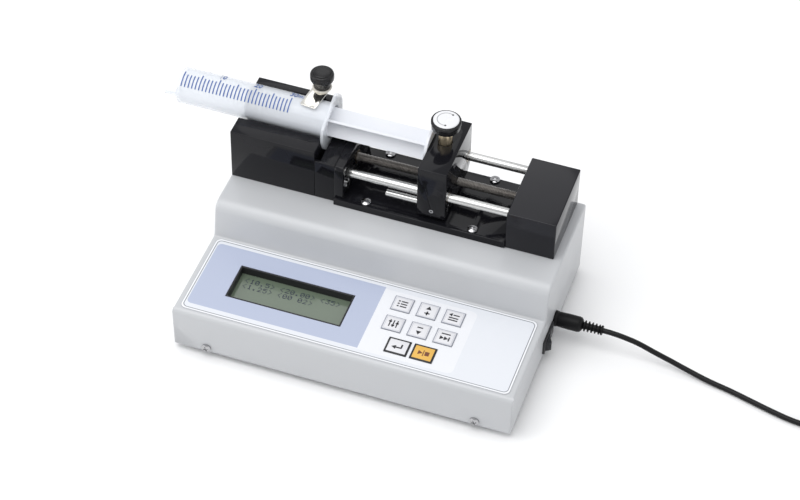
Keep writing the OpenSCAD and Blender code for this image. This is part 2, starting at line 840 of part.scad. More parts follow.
module pusher_block() {
    bush_d = rod_d + 2 * (run_gap + bush_wall);
    pusher_rear = unit_rear + 0.6;
    color("#1b1c20") at_case(pusher_x, 0, 0) difference() {
        along_x(pusher_w) polygon([[unit_y, pusher_z], [pusher_rear - pusher_chamfer, pusher_z],
            [pusher_rear, pusher_z + pusher_chamfer], [pusher_rear, pusher_top],
            [unit_y, pusher_top]]);
        for (y = [rod_front_y, rod_rear_y]) translate([-1, y, rod_z]) rod_x(bush_d, pusher_w + 2);
        translate([-1, screw_y, screw_z]) rod_x(screw_d + 2, pusher_w + 2);
        translate([-1, rod_front_y, stop_z]) rod_x(stop_d + 2 * run_gap, pusher_w + 2);
        translate([lock_x - pusher_x - nut_w / 2 - pocket_gap,
            lock_y - nut_l / 2 - pocket_gap, pusher_z - 1])
            cube([nut_w + 2 * pocket_gap, nut_l + 2 * pocket_gap, pocket_top - pusher_z + 1]);
        translate([lock_x - pusher_x, lock_y, pocket_top - 1]) {
            cylinder(d = lock_shaft_d + 2 * open_gap, h = pusher_top - pocket_top);
            translate([0, 0, pusher_top - collar_sink - pocket_top + 1])
                cylinder(d = collar_d, h = collar_sink + 1);
        }
        translate([set_screw_x - pusher_x, unit_y - 1, stop_z]) rotate([-90, 0, 0])
            cylinder(d = 3, h = rod_front_y - unit_y);
    }
}

module guide_bushes() {
    color("#a98548") at_case(pusher_x, 0, rod_z)
        for (y = [rod_front_y, rod_rear_y])
            translate([0, y, 0]) difference() {
                rod_x(rod_d + 2 * (run_gap + bush_wall), pusher_w);
                translate([-1, 0, 0]) rod_x(rod_d + 2 * run_gap, pusher_w + 2);
            }
}

module stop_rod() {
    color("#dcdde0") at_case(pusher_x - stop_reach, rod_front_y, stop_z)
        rod_x(stop_d, stop_reach + pusher_w);
}

module rod_set_screw() {
    reach = rod_front_y - stop_d / 2 - run_gap - unit_y;
    color("silver") at_case(set_screw_x, unit_y, stop_z) rotate([-90, 0, 0]) difference() {
        cylinder(d = 3, h = reach);
        translate([0, 0, -1]) cylinder(d = 1.5, h = 2.2, $fn = 6);
    }
}

module half_nut() {
    color("#b89650") at_case(lock_x, lock_y, 0) difference() {
        union() {
            translate([-nut_w / 2, -nut_l / 2, screw_z + 0.6])
                cube([nut_w, nut_l, nut_top - screw_z - 0.6]);
            translate([0, 0, nut_top - eps]) cylinder(d = nut_stem_d, h = nut_stem_l);
        }
        translate([-nut_w, screw_y - lock_y, screw_z]) rod_x(screw_d + 2 * run_gap, 2 * nut_w);
    }
}

module lock_collar() {
    color("#c9a24d") at_case(lock_x, lock_y, pusher_top - collar_sink) difference() {
        cylinder(d = collar_d, h = collar_sink + collar_rise);
        translate([0, 0, -1])
            cylinder(d = lock_shaft_d + 2 * run_gap, h = collar_sink + collar_rise + 2);
    }
}

module lock_shaft() {
    color("silver") at_case(lock_x, lock_y, shaft_bottom) difference() {
        cylinder(d = lock_shaft_d, h = knob_z + knob_h - 3 - shaft_bottom);
        translate([0, 0, -1]) cylinder(d = nut_stem_d + 2 * run_gap, h = nut_stem_l + nut_lift + 1);
    }
}

module lock_knob() {
    r = lock_knob_d / 2;
    color("#1a1a1c") at_case(lock_x, lock_y, knob_z) difference() {
        rotate_extrude() outline([[0, 0], [r * 0.58, 0], [r * 0.9, 2.4], [r, 3.2], [r, knob_h],
            [0, knob_h]], [0, 0, 1, 0.5, 0.6, 0]);
        translate([0, 0, -1]) cylinder(d = lock_shaft_d, h = knob_h - 2);
    }
}

module lock_cap() {
    color("#eceae4") at_case(lock_x, lock_y, knob_z + knob_h) cylinder(d = cap_d, h = cap_t);
}

// ---- clamp ----

module clamp_post() {
    color("#2a2b2e") at_case(clamp_x, clamp_y, collar_z) {
        cylinder(d = chamber_d - 0.4, h = collar_t);
        cylinder(d = post_d, h = clamp_knob_z + neck_h + 4 - collar_z);
    }
}

module clamp_spring() {
    low = collar_z + collar_t + spring_wire / 2;
    high = chamber_top - spring_wire / 2;
    steps = 14 * spring_turns;
    color("silver") at_case(clamp_x, clamp_y, 0)
        swept_tube([for (i = [0:steps])
            [spring_d / 2 * cos(360 * i * spring_turns / steps),
                spring_d / 2 * sin(360 * i * spring_turns / steps),
                low + (high - low) * i / steps]], spring_wire, 6);
}

module clamp_strip() {
    color("#d8d6cf") at_case(clamp_x, clamp_y, strip_z) rotate([0, 0, strip_turn]) difference() {
        translate([-strip_w / 2, -strip_front, 0])
            rounded_plate(strip_w, strip_front + strip_rear, strip_t, 1.5);
        translate([0, 0, -1]) cylinder(d = post_d + 2 * run_gap, h = strip_t + 2);
    }
}

module clamp_washer() {
    color("#d9d4c8") at_case(clamp_x, clamp_y, strip_z + strip_t) difference() {
        cylinder(d = washer_d, h = washer_t);
        translate([0, 0, -1]) cylinder(d = post_d + 2 * run_gap, h = washer_t + 2);
    }
}

module clamp_knob() {
    r = clamp_knob_d / 2;
    top = neck_h + clamp_cap_h;
    color("#18191b") at_case(clamp_x, clamp_y, clamp_knob_z) difference() {
        rotate_extrude() outline([[0, 0], [neck_d / 2, 0], [neck_d / 2, neck_h - 1.5],
            [r, neck_h + 0.5], [r, top], [0, top]], [0, 0.5, 0, 1.5, 3, 0]);
        translate([0, 0, -1]) cylinder(d = post_d, h = neck_h + 5);
    }
}

// ---- syringe ----

module syringe_barrel() {
    tip_x = barrel_front - nozzle_l;
    color("#e6ecf4", 0.5) at_case(0, groove_y, syringe_z) difference() {
        union() {
            translate([barrel_front, 0, 0]) rod_x(barrel_d, barrel_l + eps);
            translate([barrel_end, 0, 0]) along_x(flange_t) rotate(flange_turn)
                intersection() {
                    circle(flange_l / 2);
                    square([flange_l, flange_w], center = true);
                }
            translate([tip_x, -nozzle_drop, -2]) rotate([0, 90, 0])
                cylinder(d1 = nozzle_tip_d, d2 = nozzle_root_d, h = nozzle_l + eps);
        }
        translate([barrel_front + barrel_wall + 0.4, 0, 0])
            rod_x(2 * bore_r, barrel_l + flange_t);
        translate([tip_x - 1, -nozzle_drop, -2]) rod_x(nozzle_bore_d, nozzle_l + 4);
    }
}

module syringe_plunger() {
    stem_x = gasket_x + gasket_l;
    stem_l = pusher_x - stem_x;
    color("#eef1f5") at_case(stem_x, groove_y, syringe_z) {
        rotate([rib_turn, 0, 0]) {
            translate([0, -plunger_w / 2, -rib_t / 2]) cube([stem_l - eps, plunger_w, rib_t]);
            translate([0, -rib_t / 2, -plunger_w / 2]) cube([stem_l - eps, rib_t, plunger_w]);
        }
        for (x = [0, 4]) translate([x, 0, 0]) rod_x(plunger_w, 1.2);
        translate([stem_l - thumb_t, 0, 0]) rod_x(thumb_d, thumb_t);
    }
}

module plunger_gasket() {
    r = bore_r - 0.08;
    color("#3b4450") at_case(gasket_x, groove_y, syringe_z) rotate([0, 90, 0]) rotate_extrude()
        polygon([[0, 0], [r - 1, 1.5], [r, 2], [r, 3.2], [r - gasket_groove, 3.6],
            [r - gasket_groove, 5.4], [r, 5.8], [r, gasket_l], [0, gasket_l]]);
}

// ---- lead ----

module lead_run() {
    color("#1b1c1e") swept_tube(lead_run_points, lead_d, lead_sides);
}

module lead_coil() {
    color("#1b1c1e") translate([coil_centre[0], coil_centre[1], 0])
        rotate_extrude() translate([coil_r - coil_rows * lead_d, 0])
            square([coil_rows * lead_d, coil_layers * lead_d]);
}

module ac_adapter() {
    color("#202124") translate([adapter_x, adapter_y, 0]) {
        translate([-adapter_w / 2, 0, 0]) rounded_plate(adapter_w, adapter_l, adapter_h, 4);
        translate([0, eps, relief_z]) rotate([90, 0, 0]) cylinder(d1 = 8, d2 = 5, h = relief_l);
        for (x = [-6.35, 6.35])
            translate([x - 0.75, adapter_l - eps, adapter_h / 2 - 3.1]) cube([1.5, 17, 6.2]);
    }
}

housing_cover();
base_plate();
rubber_feet();
cover_screws();
panel_overlay();
display_bezel();
display_module();
select_key();
increase_key();
recall_key();
control_key();
decrease_key();
advance_key();
enter_key();
run_key();
key_board();
key_switches();
main_board();
board_standoffs();
power_jack();
power_switch_body();
power_switch_rocker();
syringe_block();
flange_block();
bearing_plate_left();
drive_rail();
drive_screws();
end_cover();
bearing_plate_right();
guide_rod_front();
guide_rod_rear();
screw_bearings();
lead_screw();
screw_gear();
motor();
motor_bracket();
motor_shaft();
motor_pinion();
pusher_block();
guide_bushes();
stop_rod();
rod_set_screw();
half_nut();
lock_collar();
lock_shaft();
lock_knob();
lock_cap();
clamp_post();
clamp_spring();
clamp_strip();
clamp_washer();
clamp_knob();
syringe_barrel();
syringe_plunger();
plunger_gasket();
dc_plug();
plug_boot();
lead_run();
lead_coil();
ac_adapter();
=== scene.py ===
import json
import math
import bpy
from mathutils import Matrix, Vector

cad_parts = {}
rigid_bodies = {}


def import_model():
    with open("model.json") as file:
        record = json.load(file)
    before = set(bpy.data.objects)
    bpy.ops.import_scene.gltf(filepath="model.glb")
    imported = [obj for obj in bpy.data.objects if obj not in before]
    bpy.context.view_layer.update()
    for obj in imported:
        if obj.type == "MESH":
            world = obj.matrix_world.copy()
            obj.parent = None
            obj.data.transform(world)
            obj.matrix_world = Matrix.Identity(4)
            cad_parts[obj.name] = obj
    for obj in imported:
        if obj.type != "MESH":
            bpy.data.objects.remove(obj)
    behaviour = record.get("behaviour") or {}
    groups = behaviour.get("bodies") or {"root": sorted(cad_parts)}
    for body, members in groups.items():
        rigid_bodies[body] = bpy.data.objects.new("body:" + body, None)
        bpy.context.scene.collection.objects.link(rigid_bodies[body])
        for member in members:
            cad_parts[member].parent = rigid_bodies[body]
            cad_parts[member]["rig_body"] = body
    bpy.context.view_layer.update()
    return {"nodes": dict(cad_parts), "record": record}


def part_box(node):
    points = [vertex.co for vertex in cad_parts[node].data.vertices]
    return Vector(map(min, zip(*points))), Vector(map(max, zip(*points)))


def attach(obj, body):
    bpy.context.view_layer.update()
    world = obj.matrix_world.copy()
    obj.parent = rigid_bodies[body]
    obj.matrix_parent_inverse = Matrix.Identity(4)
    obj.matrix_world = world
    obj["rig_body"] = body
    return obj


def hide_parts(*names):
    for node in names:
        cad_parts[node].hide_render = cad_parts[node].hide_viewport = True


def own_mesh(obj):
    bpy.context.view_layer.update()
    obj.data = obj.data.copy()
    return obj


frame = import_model()
mm = 0.001
tiny = 1e-6  # metres: points closer than this are the same point

# Syringe pump on a bench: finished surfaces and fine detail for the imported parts. Lengths are in
# metres; sizes in the settings are in millimetres and are multiplied by mm where they are used.


# small helpers

def deselectAll():
    if bpy.context.mode != "OBJECT":
        bpy.ops.object.mode_set(mode="OBJECT")
    bpy.ops.object.select_all(action="DESELECT")


def pick(piece):
    deselectAll()
    piece.select_set(True)
    bpy.context.view_layer.objects.active = piece


def openMesh(piece, kind="VERT"):
    # edit mode with nothing selected
    pick(piece)
    bpy.ops.object.mode_set(mode="EDIT")
    bpy.ops.mesh.select_mode(type=kind)
    bpy.ops.mesh.select_all(action="DESELECT")
    bpy.ops.object.mode_set(mode="OBJECT")


def markEdges(piece, wanted):
    # selects the edges whose two ends pass the test, and goes into edit mode
    openMesh(piece, "EDGE")
    corners = [v.co.copy() for v in piece.data.vertices]
    for edge in piece.data.edges:
        a, b = edge.vertices
        edge.select = bool(wanted(corners[a], corners[b]))
    bpy.ops.object.mode_set(mode="EDIT")


def markFaces(piece, wanted):
    openMesh(piece, "FACE")
    for face in piece.data.polygons:
        face.select = bool(wanted(face.center, face.normal))
    bpy.ops.object.mode_set(mode="EDIT")


def applyAll(piece):
    pick(piece)
    for modifier in list(piece.modifiers):
        bpy.ops.object.modifier_apply(modifier=modifier.name)


def settle(piece):
    # its place goes into its mesh
    pick(piece)
    bpy.ops.object.transform_apply(location=True, rotation=True, scale=True)


def smooth(piece, angle=35):
    pick(piece)
    bpy.ops.object.shade_smooth_by_angle(angle=math.radians(angle))


def roundEdges(piece, width, segments=3, angle=40):
    bevel = piece.modifiers.new("Bevel", "BEVEL")
    bevel.width = width * mm
    bevel.segments = segments
    bevel.limit_method = "ANGLE"
    bevel.angle_limit = math.radians(angle)
    bevel.use_clamp_overlap = False
    applyAll(piece)


def joinPieces(pieces, name):
    deselectAll()
    for piece in pieces:
        piece.select_set(True)
    bpy.context.view_layer.objects.active = pieces[0]
    if len(pieces) > 1:
        bpy.ops.object.join()
    pieces[0].name = name
    pieces[0].data.name = name
    return pieces[0]


def outwards(piece):
    openMesh(piece)
    bpy.ops.object.mode_set(mode="EDIT")
    bpy.ops.mesh.select_all(action="SELECT")
    bpy.ops.mesh.remove_doubles(threshold=tiny)
    bpy.ops.mesh.normals_make_consistent(inside=False)
    bpy.ops.object.mode_set(mode="OBJECT")


def box(name, centre, size, roll=0):
    # a block at its place, rolled about X by so many degrees
    deselectAll()
    bpy.ops.mesh.primitive_cube_add(size=1, location=centre, rotation=(math.radians(roll), 0, 0))
    piece = bpy.context.object
    piece.name = name
    piece.scale = size
    settle(piece)
    return piece


def turned(name, origin, axis, rings, around=64):
    # a lathe: a disc that is extruded and resized ring by ring, (distance, radius) in millimetres
    turn = {"x": (0, math.pi / 2, 0), "z": (0, 0, 0), "-y": (math.pi / 2, 0, 0)}[axis]
    step = {"x": Vector((1, 0, 0)), "z": Vector((0, 0, 1)), "-y": Vector((0, -1, 0))}[axis]
    deselectAll()
    bpy.ops.mesh.primitive_circle_add(vertices=around, radius=rings[0][1] * mm,
        fill_type="NGON", location=Vector(origin) + step * rings[0][0] * mm, rotation=turn)
    piece = bpy.context.object
    piece.name = name
    settle(piece)
    openMesh(piece, "FACE")
    bpy.ops.object.mode_set(mode="EDIT")
    bpy.ops.mesh.select_all(action="SELECT")
    for (near, r0), (far, r1) in zip(rings, rings[1:]):
        move = step * (far - near) * mm
        bpy.ops.mesh.extrude_region_move(TRANSFORM_OT_translate={"value": move})
        scale = [r1 / r0] * 3
        middle = Vector(origin) + step * far * mm
        bpy.ops.transform.resize(value=scale, center_override=middle)
    bpy.ops.object.mode_set(mode="OBJECT")
    closeStart(piece)
    return piece


def closeStart(piece):
    # the disc that the lathe began with is filled again if the extrusion took it along
    openMesh(piece)
    bpy.ops.object.mode_set(mode="EDIT")
    bpy.ops.mesh.select_mode(type="EDGE")
    bpy.ops.mesh.select_non_manifold()
    piece.update_from_editmode()
    if any(edge.select for edge in piece.data.edges):
        bpy.ops.mesh.edge_face_add()
    bpy.ops.mesh.select_all(action="SELECT")
    bpy.ops.mesh.normals_make_consistent(inside=False)
    bpy.ops.object.mode_set(mode="OBJECT")


def combine(piece, other, operation="UNION"):
    # adds the other piece's shape to this one or cuts it away, and removes the other
    both = piece.modifiers.new("Boolean", "BOOLEAN")
    both.operation = operation
    both.solver = "EXACT"
    both.object = other
    applyAll(piece)
    bpy.data.objects.remove(other)


def mergedCopy(node, name):
    # a new piece that starts from a CAD node's shape, with its loose triangles joined up
    piece = bpy.data.objects.new(name, frame["nodes"][node].data.copy())
    bpy.context.scene.collection.objects.link(piece)
    piece.data.name = name
    pick(piece)
    bpy.ops.object.mode_set(mode="EDIT")
    bpy.ops.mesh.select_all(action="SELECT")
    bpy.ops.mesh.remove_doubles(threshold=2 * tiny)
    bpy.ops.mesh.dissolve_limited(angle_limit=math.radians(0.6))
    bpy.ops.object.mode_set(mode="OBJECT")
    return piece


def bodyOf(node):
    return frame["nodes"][node]["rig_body"]


def centreOf(node):
    low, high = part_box(node)
    return (low + high) / 2


# camera

benchView = {
    "place": (0.3500, -1.0433, 1.1784), "azimuth": 17.930, "elevation": 45.592, "roll": 1.553,
    "lens": 108.8, "sensor": 36, "near": 0.05, "far": 20,
}


def makeCamera(view):
    az, el, roll = (math.radians(view[k]) for k in ("azimuth", "elevation", "roll"))
    back = Vector((math.sin(az) * math.cos(el), -math.cos(az) * math.cos(el), math.sin(el)))
    side = Vector((0, 0, 1)).cross(back).normalized()
    up = back.cross(side)
    right = math.cos(roll) * side + math.sin(roll) * up
    top = math.cos(roll) * up - math.sin(roll) * side
    data = bpy.data.cameras.new("camera")
    data.lens = view["lens"]
    data.sensor_width = view["sensor"]
    data.clip_start = view["near"]
    data.clip_end = view["far"]
    camera = bpy.data.objects.new("camera", data)
    bpy.context.scene.collection.objects.link(camera)
    turn = Matrix((right, top, back)).transposed().to_4x4()
    camera.matrix_world = Matrix.Translation(Vector(view["place"])) @ turn
    bpy.context.scene.camera = camera


makeCamera(benchView)
print("camera made")

# lead

# changes holds the turned angle at which the lead goes over to another row or layer of the coil,
# and by how many rows and layers; changeTurn is the angle that each change takes
lead = {
    "diameter": 3.6,
    "length": 1500,
    "run": [(148, 16, 16), (154, 16, 15.8), (162, 16, 14.8), (172, 16, 12.6), (183, 15, 9.6),
        (195, 14, 6.4), (208, 12, 3.8), (222, 9, 2.4), (237, 6, 2), (252, 2, 2),
        (267, -2, 2), (281, -5, 2), (294, -6, 2), (306, -6, 2)],
    "coilCentre": (318, 17.6),
    "outerTurn": 23.6,
    "turns": 10.25,
    "steps": 30,
    "changeTurn": 60,
    "changes": [(300, 1, 0), (660, 1, 0), (960, 0, 1), (1260, -1, 0), (1620, -1, 0), (1920, 0, 1),
        (2220, 1, 0), (2580, 1, 0), (2880, 0, 1), (3180, -1, 0), (3540, -1, 0)],
    "landing": 0.2,
    "tail": [(341.6, 22, 12.6), (341.6, 27, 12.6), (341.6, 31, 12.6)],
}


def easeStep(share):
    share = min(max(share, 0), 1)
    return share * share * (3 - 2 * share)


def coilPoint(angleTurned, cord):
    # rows lie side by side and layers on each other, a diameter apart
    d = cord["diameter"]
    ease = cord["changeTurn"]
    row = layer = 0
    for start, rows, layers in cord["changes"]:
        share = easeStep((angleTurned - start) / ease)
        row += rows * share
        layer += layers * share
    angle = math.radians(angleTurned - 90)
    r = cord["outerTurn"] - row * d
    lift = d / 2 + layer * d + cord["landing"] * (1 - easeStep(angleTurned / ease))
    x, y = cord["coilCentre"]
    return (x + r * math.cos(angle), y + r * math.sin(angle), lift)


def makeLead(cord):
    count = round(cord["turns"] * cord["steps"])
    coil = [coilPoint(360 * i / cord["steps"], cord) for i in range(count + 1)]
    points = cord["run"] + coil + cord["tail"]
    curve = bpy.data.curves.new("lead", "CURVE")
    curve.dimensions = "3D"
    curve.bevel_depth = cord["diameter"] / 2 * mm
    curve.bevel_resolution = 4
    curve.resolution_u = 3
    curve.use_fill_caps = True
    spline = curve.splines.new("BEZIER")
    spline.bezier_points.add(len(points) - 1)
    for knot, point in zip(spline.bezier_points, points):
        knot.co = Vector(point) * mm
        knot.handle_left_type = knot.handle_right_type = "AUTO"
    piece = bpy.data.objects.new("lead", curve)
    bpy.context.scene.collection.objects.link(piece)
    return piece


leadPiece = makeLead(lead)
print("lead made")

# finishes

# base colours are linear; vary is how far the tone drifts, patch and grain are noise scales per
# metre, bump is the height of the grain in millimetres, and the rest are the shader's own values
finishes = {
    "cover_paint": dict(base=(0.51, 0.52, 0.535), vary=0.02, rough=(0.34, 0.42), patch=30,
        grain=1500, bump=0.012, shader={"Coat Weight": 0.12, "Coat Roughness": 0.2}),
    "base_steel": dict(base=(0.55, 0.56, 0.58), vary=0.05, rough=(0.3, 0.42), patch=60,
        grain=1200, bump=0.004, shader={"Metallic": 1.0}),
    "foot_rubber": dict(base=(0.018, 0.018, 0.02), vary=0.2, rough=(0.65, 0.8), patch=200,
        grain=2500, bump=0.02),
    "screw_steel": dict(base=(0.46, 0.46, 0.47), vary=0.03, rough=(0.12, 0.2), patch=300,
        grain=3000, bump=0.002, shader={"Metallic": 1.0}),
    "overlay_film": dict(base=(0.69, 0.71, 0.75), vary=0.01, rough=(0.3, 0.36), patch=40,
        grain=4000, bump=0.003, shader={"Coat Weight": 0.3, "Coat Roughness": 0.2}),
    "display_frame": dict(base=(0.010, 0.010, 0.012), vary=0.2, rough=(0.35, 0.5), patch=200,
        grain=3000, bump=0.004),
    "display_glass": dict(base=(0.120, 0.155, 0.112), vary=0.03, rough=(0.16, 0.2), patch=50,
        grain=900, bump=0.001, shader={"Coat Weight": 0.6, "Coat Roughness": 0.06}),
    "key_white": dict(base=(0.70, 0.70, 0.725), vary=0.01, rough=(0.3, 0.38), patch=150,
        grain=3500, bump=0.004),
    "key_amber": dict(base=(0.72, 0.42, 0.08), vary=0.02, rough=(0.3, 0.38), patch=150,
        grain=3500, bump=0.004),
    "board_green": dict(base=(0.02, 0.11, 0.05), vary=0.15, rough=(0.3, 0.4), patch=120,
        grain=2000, bump=0.01),
    "switch_caps": dict(base=(0.03, 0.03, 0.032), vary=0.1, rough=(0.4, 0.5), patch=200,
        grain=3000, bump=0.01),
    "standoff_brass": dict(base=(0.72, 0.52, 0.24), vary=0.05, rough=(0.25, 0.35), patch=200,
        grain=3000, bump=0.004, shader={"Metallic": 1.0}),
    "socket_plastic": dict(base=(0.012, 0.012, 0.014), vary=0.2, rough=(0.32, 0.42), patch=200,
        grain=3000, bump=0.006),
    "rocker_plastic": dict(base=(0.014, 0.015, 0.018), vary=0.15, rough=(0.24, 0.32), patch=150,
        grain=3000, bump=0.004, shader={"Specular IOR Level": 0.25}),
    "block_black": dict(base=(0.0075, 0.0075, 0.0095), vary=0.2, rough=(0.06, 0.10), patch=60,
        grain=2200, bump=0.0008, shader={"Specular IOR Level": 0.22}),
    "cover_black": dict(base=(0.0075, 0.0075, 0.0105), vary=0.2, rough=(0.10, 0.15), patch=50,
        grain=2000, bump=0.0008, shader={"Specular IOR Level": 0.3}),
    "rod_steel": dict(base=(0.66, 0.66, 0.65), vary=0.03, rough=(0.18, 0.28), patch=120,
        grain=1500, bump=0.001, shader={"Metallic": 1.0}),
    "bearing_bronze": dict(base=(0.30, 0.25, 0.18), vary=0.08, rough=(0.25, 0.38), patch=200,
        grain=2500, bump=0.004, shader={"Metallic": 1.0}),
    "screw_dark": dict(base=(0.32, 0.305, 0.29), vary=0.25, rough=(0.3, 0.42), patch=260,
        grain=3000, bump=0.006, shader={"Metallic": 0.85}),
    "gear_brass": dict(base=(0.74, 0.55, 0.26), vary=0.05, rough=(0.22, 0.3), patch=200,
        grain=3000, bump=0.003, shader={"Metallic": 1.0}),
    "motor_steel": dict(base=(0.55, 0.55, 0.57), vary=0.05, rough=(0.28, 0.38), patch=150,
        grain=2000, bump=0.004, shader={"Metallic": 1.0}),
    "shaft_steel": dict(base=(0.7, 0.7, 0.72), vary=0.04, rough=(0.15, 0.22), patch=200,
        grain=3000, bump=0.002, shader={"Metallic": 1.0}),
    "collar_brass": dict(base=(0.95, 0.80, 0.56), vary=0.04, rough=(0.3, 0.38), patch=250,
        grain=2500, bump=0.001, shader={"Metallic": 1.0}),
    "knob_black": dict(base=(0.012, 0.012, 0.013), vary=0.15, rough=(0.22, 0.3), patch=250,
        grain=3000, bump=0.004, shader={"Specular IOR Level": 0.3}),
    "cap_white": dict(base=(0.73, 0.735, 0.755), vary=0.01, rough=(0.22, 0.3), patch=150,
        grain=3500, bump=0.002),
    "post_black": dict(base=(0.02, 0.02, 0.024), vary=0.1, rough=(0.2, 0.3), patch=200,
        grain=2500, bump=0.003, shader={"Metallic": 0.6}),
    "spring_steel": dict(base=(0.55, 0.55, 0.57), vary=0.05, rough=(0.2, 0.3), patch=300,
        grain=3000, bump=0.002, shader={"Metallic": 1.0}),
    "strip_steel": dict(base=(0.94, 0.92, 0.86), vary=0.02, rough=(0.05, 0.1), patch=90,
        grain=1800, bump=0.0008, shader={"Metallic": 1.0}),
    "washer_nylon": dict(base=(0.70, 0.67, 0.61), vary=0.04, rough=(0.35, 0.45), patch=300,
        grain=3000, bump=0.004),
    "barrel_clear": dict(base=(0.86, 0.89, 0.935), vary=0.01, rough=(0.16, 0.24), patch=60,
        grain=900, bump=0.002, shader={"Alpha": 0.47, "Coat Weight": 0.2}),
    "plunger_white": dict(base=(0.73, 0.745, 0.78), vary=0.01, rough=(0.28, 0.36), patch=60,
        grain=1200, bump=0.003, shader={"Subsurface Weight": 0.25, "Subsurface Scale": 0.002,
        "Subsurface Radius": (1.0, 1.0, 1.0)}),
    "gasket_rubber": dict(base=(0.10, 0.125, 0.19), vary=0.05, rough=(0.35, 0.45), patch=200,
        grain=2500, bump=0.003),
    "plug_black": dict(base=(0.006, 0.006, 0.0065), vary=0.15, rough=(0.34, 0.46), patch=250,
        grain=3000, bump=0.006, shader={"Specular IOR Level": 0.16}),
    "lead_black": dict(base=(0.008, 0.008, 0.0085), vary=0.15, rough=(0.3, 0.4), patch=200,
        grain=2500, bump=0.004, shader={"Specular IOR Level": 0.2}),
    "adapter_black": dict(base=(0.014, 0.014, 0.016), vary=0.15, rough=(0.45, 0.58), patch=150,
        grain=2600, bump=0.02),
    "mark_black": dict(base=(0.016, 0.016, 0.02), vary=0.1, rough=(0.45, 0.55), patch=300,
        grain=3000, bump=0.002),
    "mark_brown": dict(base=(0.16, 0.05, 0.02), vary=0.1, rough=(0.45, 0.55), patch=300,
        grain=3000, bump=0.002),
    "print_blue": dict(base=(0.045, 0.10, 0.30), vary=0.12, rough=(0.35, 0.45), patch=400,
        grain=3000, bump=0.001),
    "display_dots": dict(base=(0.008, 0.014, 0.034), vary=0.1, rough=(0.3, 0.4), patch=300,
        grain=3000, bump=0.001),
    "tie_grey": dict(base=(0.05, 0.05, 0.055), vary=0.15, rough=(0.5, 0.6), patch=500,
        grain=4000, bump=0.02),
}


def link(tree, value, socket):
    if isinstance(value, bpy.types.NodeSocket):
        tree.links.new(value, socket)
    else:
        socket.default_value = value


def calc(tree, operation, a, b=None):
    node = tree.nodes.new("ShaderNodeMath")
    node.operation = operation
    for value, socket in zip((a, b), node.inputs):
        if value is not None:
            link(tree, value, socket)
    return node.outputs[0]


def spread(tree, value, low, high, start=0.0, end=1.0):
    node = tree.nodes.new("ShaderNodeMapRange")
    node.inputs["From Min"].default_value = start
    node.inputs["From Max"].default_value = end
    node.inputs["To Min"].default_value = low
    node.inputs["To Max"].default_value = high
    link(tree, value, node.inputs["Value"])
    return node.outputs["Result"]


def blendColour(tree, share, under, over):
    node = tree.nodes.new("ShaderNodeMix")
    node.data_type = "RGBA"
    link(tree, share, node.inputs["Factor"])
    link(tree, under, node.inputs["A"])
    link(tree, over, node.inputs["B"])
    return node.outputs["Result"]


def noise(tree, coords, scale, detail=2.0):
    node = tree.nodes.new("ShaderNodeTexNoise")
    node.inputs["Scale"].default_value = scale
    node.inputs["Detail"].default_value = detail
    tree.links.new(coords, node.inputs["Vector"])
    return node.outputs["Fac"]


def tone(colour, factor):
    return tuple(min(c * factor, 1) for c in colour[:3]) + (1.0,)


def makeFinish(name, look):
    finish = bpy.data.materials.new(name)
    finish.use_nodes = True
    tree = finish.node_tree
    shader = tree.nodes["Principled BSDF"]
    for socket, value in look.get("shader", {}).items():
        shader.inputs[socket].default_value = value
    coords = tree.nodes.new("ShaderNodeTexCoord").outputs["Object"]
    patches = noise(tree, coords, look["patch"])
    colour = blendColour(tree, patches, tone(look["base"], 1 - look["vary"]),
        tone(look["base"], 1 + look["vary"]))
    tree.links.new(colour, shader.inputs["Base Color"])
    tree.links.new(spread(tree, patches, *look["rough"], 0.3, 0.7), shader.inputs["Roughness"])
    bump = tree.nodes.new("ShaderNodeBump")
    bump.inputs["Distance"].default_value = look["bump"] * mm
    bump.inputs["Strength"].default_value = 1.0
    tree.links.new(noise(tree, coords, look["grain"], 1.0), bump.inputs["Height"])
    tree.links.new(bump.outputs["Normal"], shader.inputs["Normal"])
    finish.diffuse_color = tone(look["base"], 1)
    return finish


def paintOver(finish, mask, colour):
    # prints, and the painted shadow line along the overlay's edge, laid over whatever feeds the base
    # colour so far
    tree = finish.node_tree
    base = tree.nodes["Principled BSDF"].inputs["Base Color"]
    under = base.links[0].from_socket
    tree.links.new(blendColour(tree, mask, under, colour), base)


def flatCoords(finish):
    tree = finish.node_tree
    split = tree.nodes.new("ShaderNodeSeparateXYZ")
    coords = next(n for n in tree.nodes if n.bl_idname == "ShaderNodeTexCoord")
    tree.links.new(coords.outputs["Object"], split.inputs[0])
    return split.outputs[0], split.outputs[1]


def flatLength(tree, x, y):
    # the length of a flat vector
    return calc(tree, "SQRT", calc(tree, "ADD", calc(tree, "MULTIPLY", x, x),
        calc(tree, "MULTIPLY", y, y)))


def roundBoxDistance(tree, x, y, low, high, radius):
    # signed distance in metres to a rectangle with round corners, given in metres
    centre = [(a + b) / 2 for a, b in zip(low, high)]
    half = [(b - a) / 2 - radius for a, b in zip(low, high)]
    qx = calc(tree, "SUBTRACT", calc(tree, "ABSOLUTE", calc(tree, "SUBTRACT", x, centre[0])), half[0])
    qy = calc(tree, "SUBTRACT", calc(tree, "ABSOLUTE", calc(tree, "SUBTRACT", y, centre[1])), half[1])
    ox = calc(tree, "MAXIMUM", qx, 0.0)
    oy = calc(tree, "MAXIMUM", qy, 0.0)
    outside = flatLength(tree, ox, oy)
    inside = calc(tree, "MINIMUM", calc(tree, "MAXIMUM", qx, qy), 0.0)
    return calc(tree, "SUBTRACT", calc(tree, "ADD", outside, inside), radius)


def within(tree, distance, low, high, soft=0.06):
    # 1 where the distance lies between low and high, in millimetres
    rise = spread(tree, distance, 0.0, 1.0, (low - soft) * mm, (low + soft) * mm)
    fall = spread(tree, distance, 1.0, 0.0, (high - soft) * mm, (high + soft) * mm)
    return calc(tree, "MULTIPLY", rise, fall)


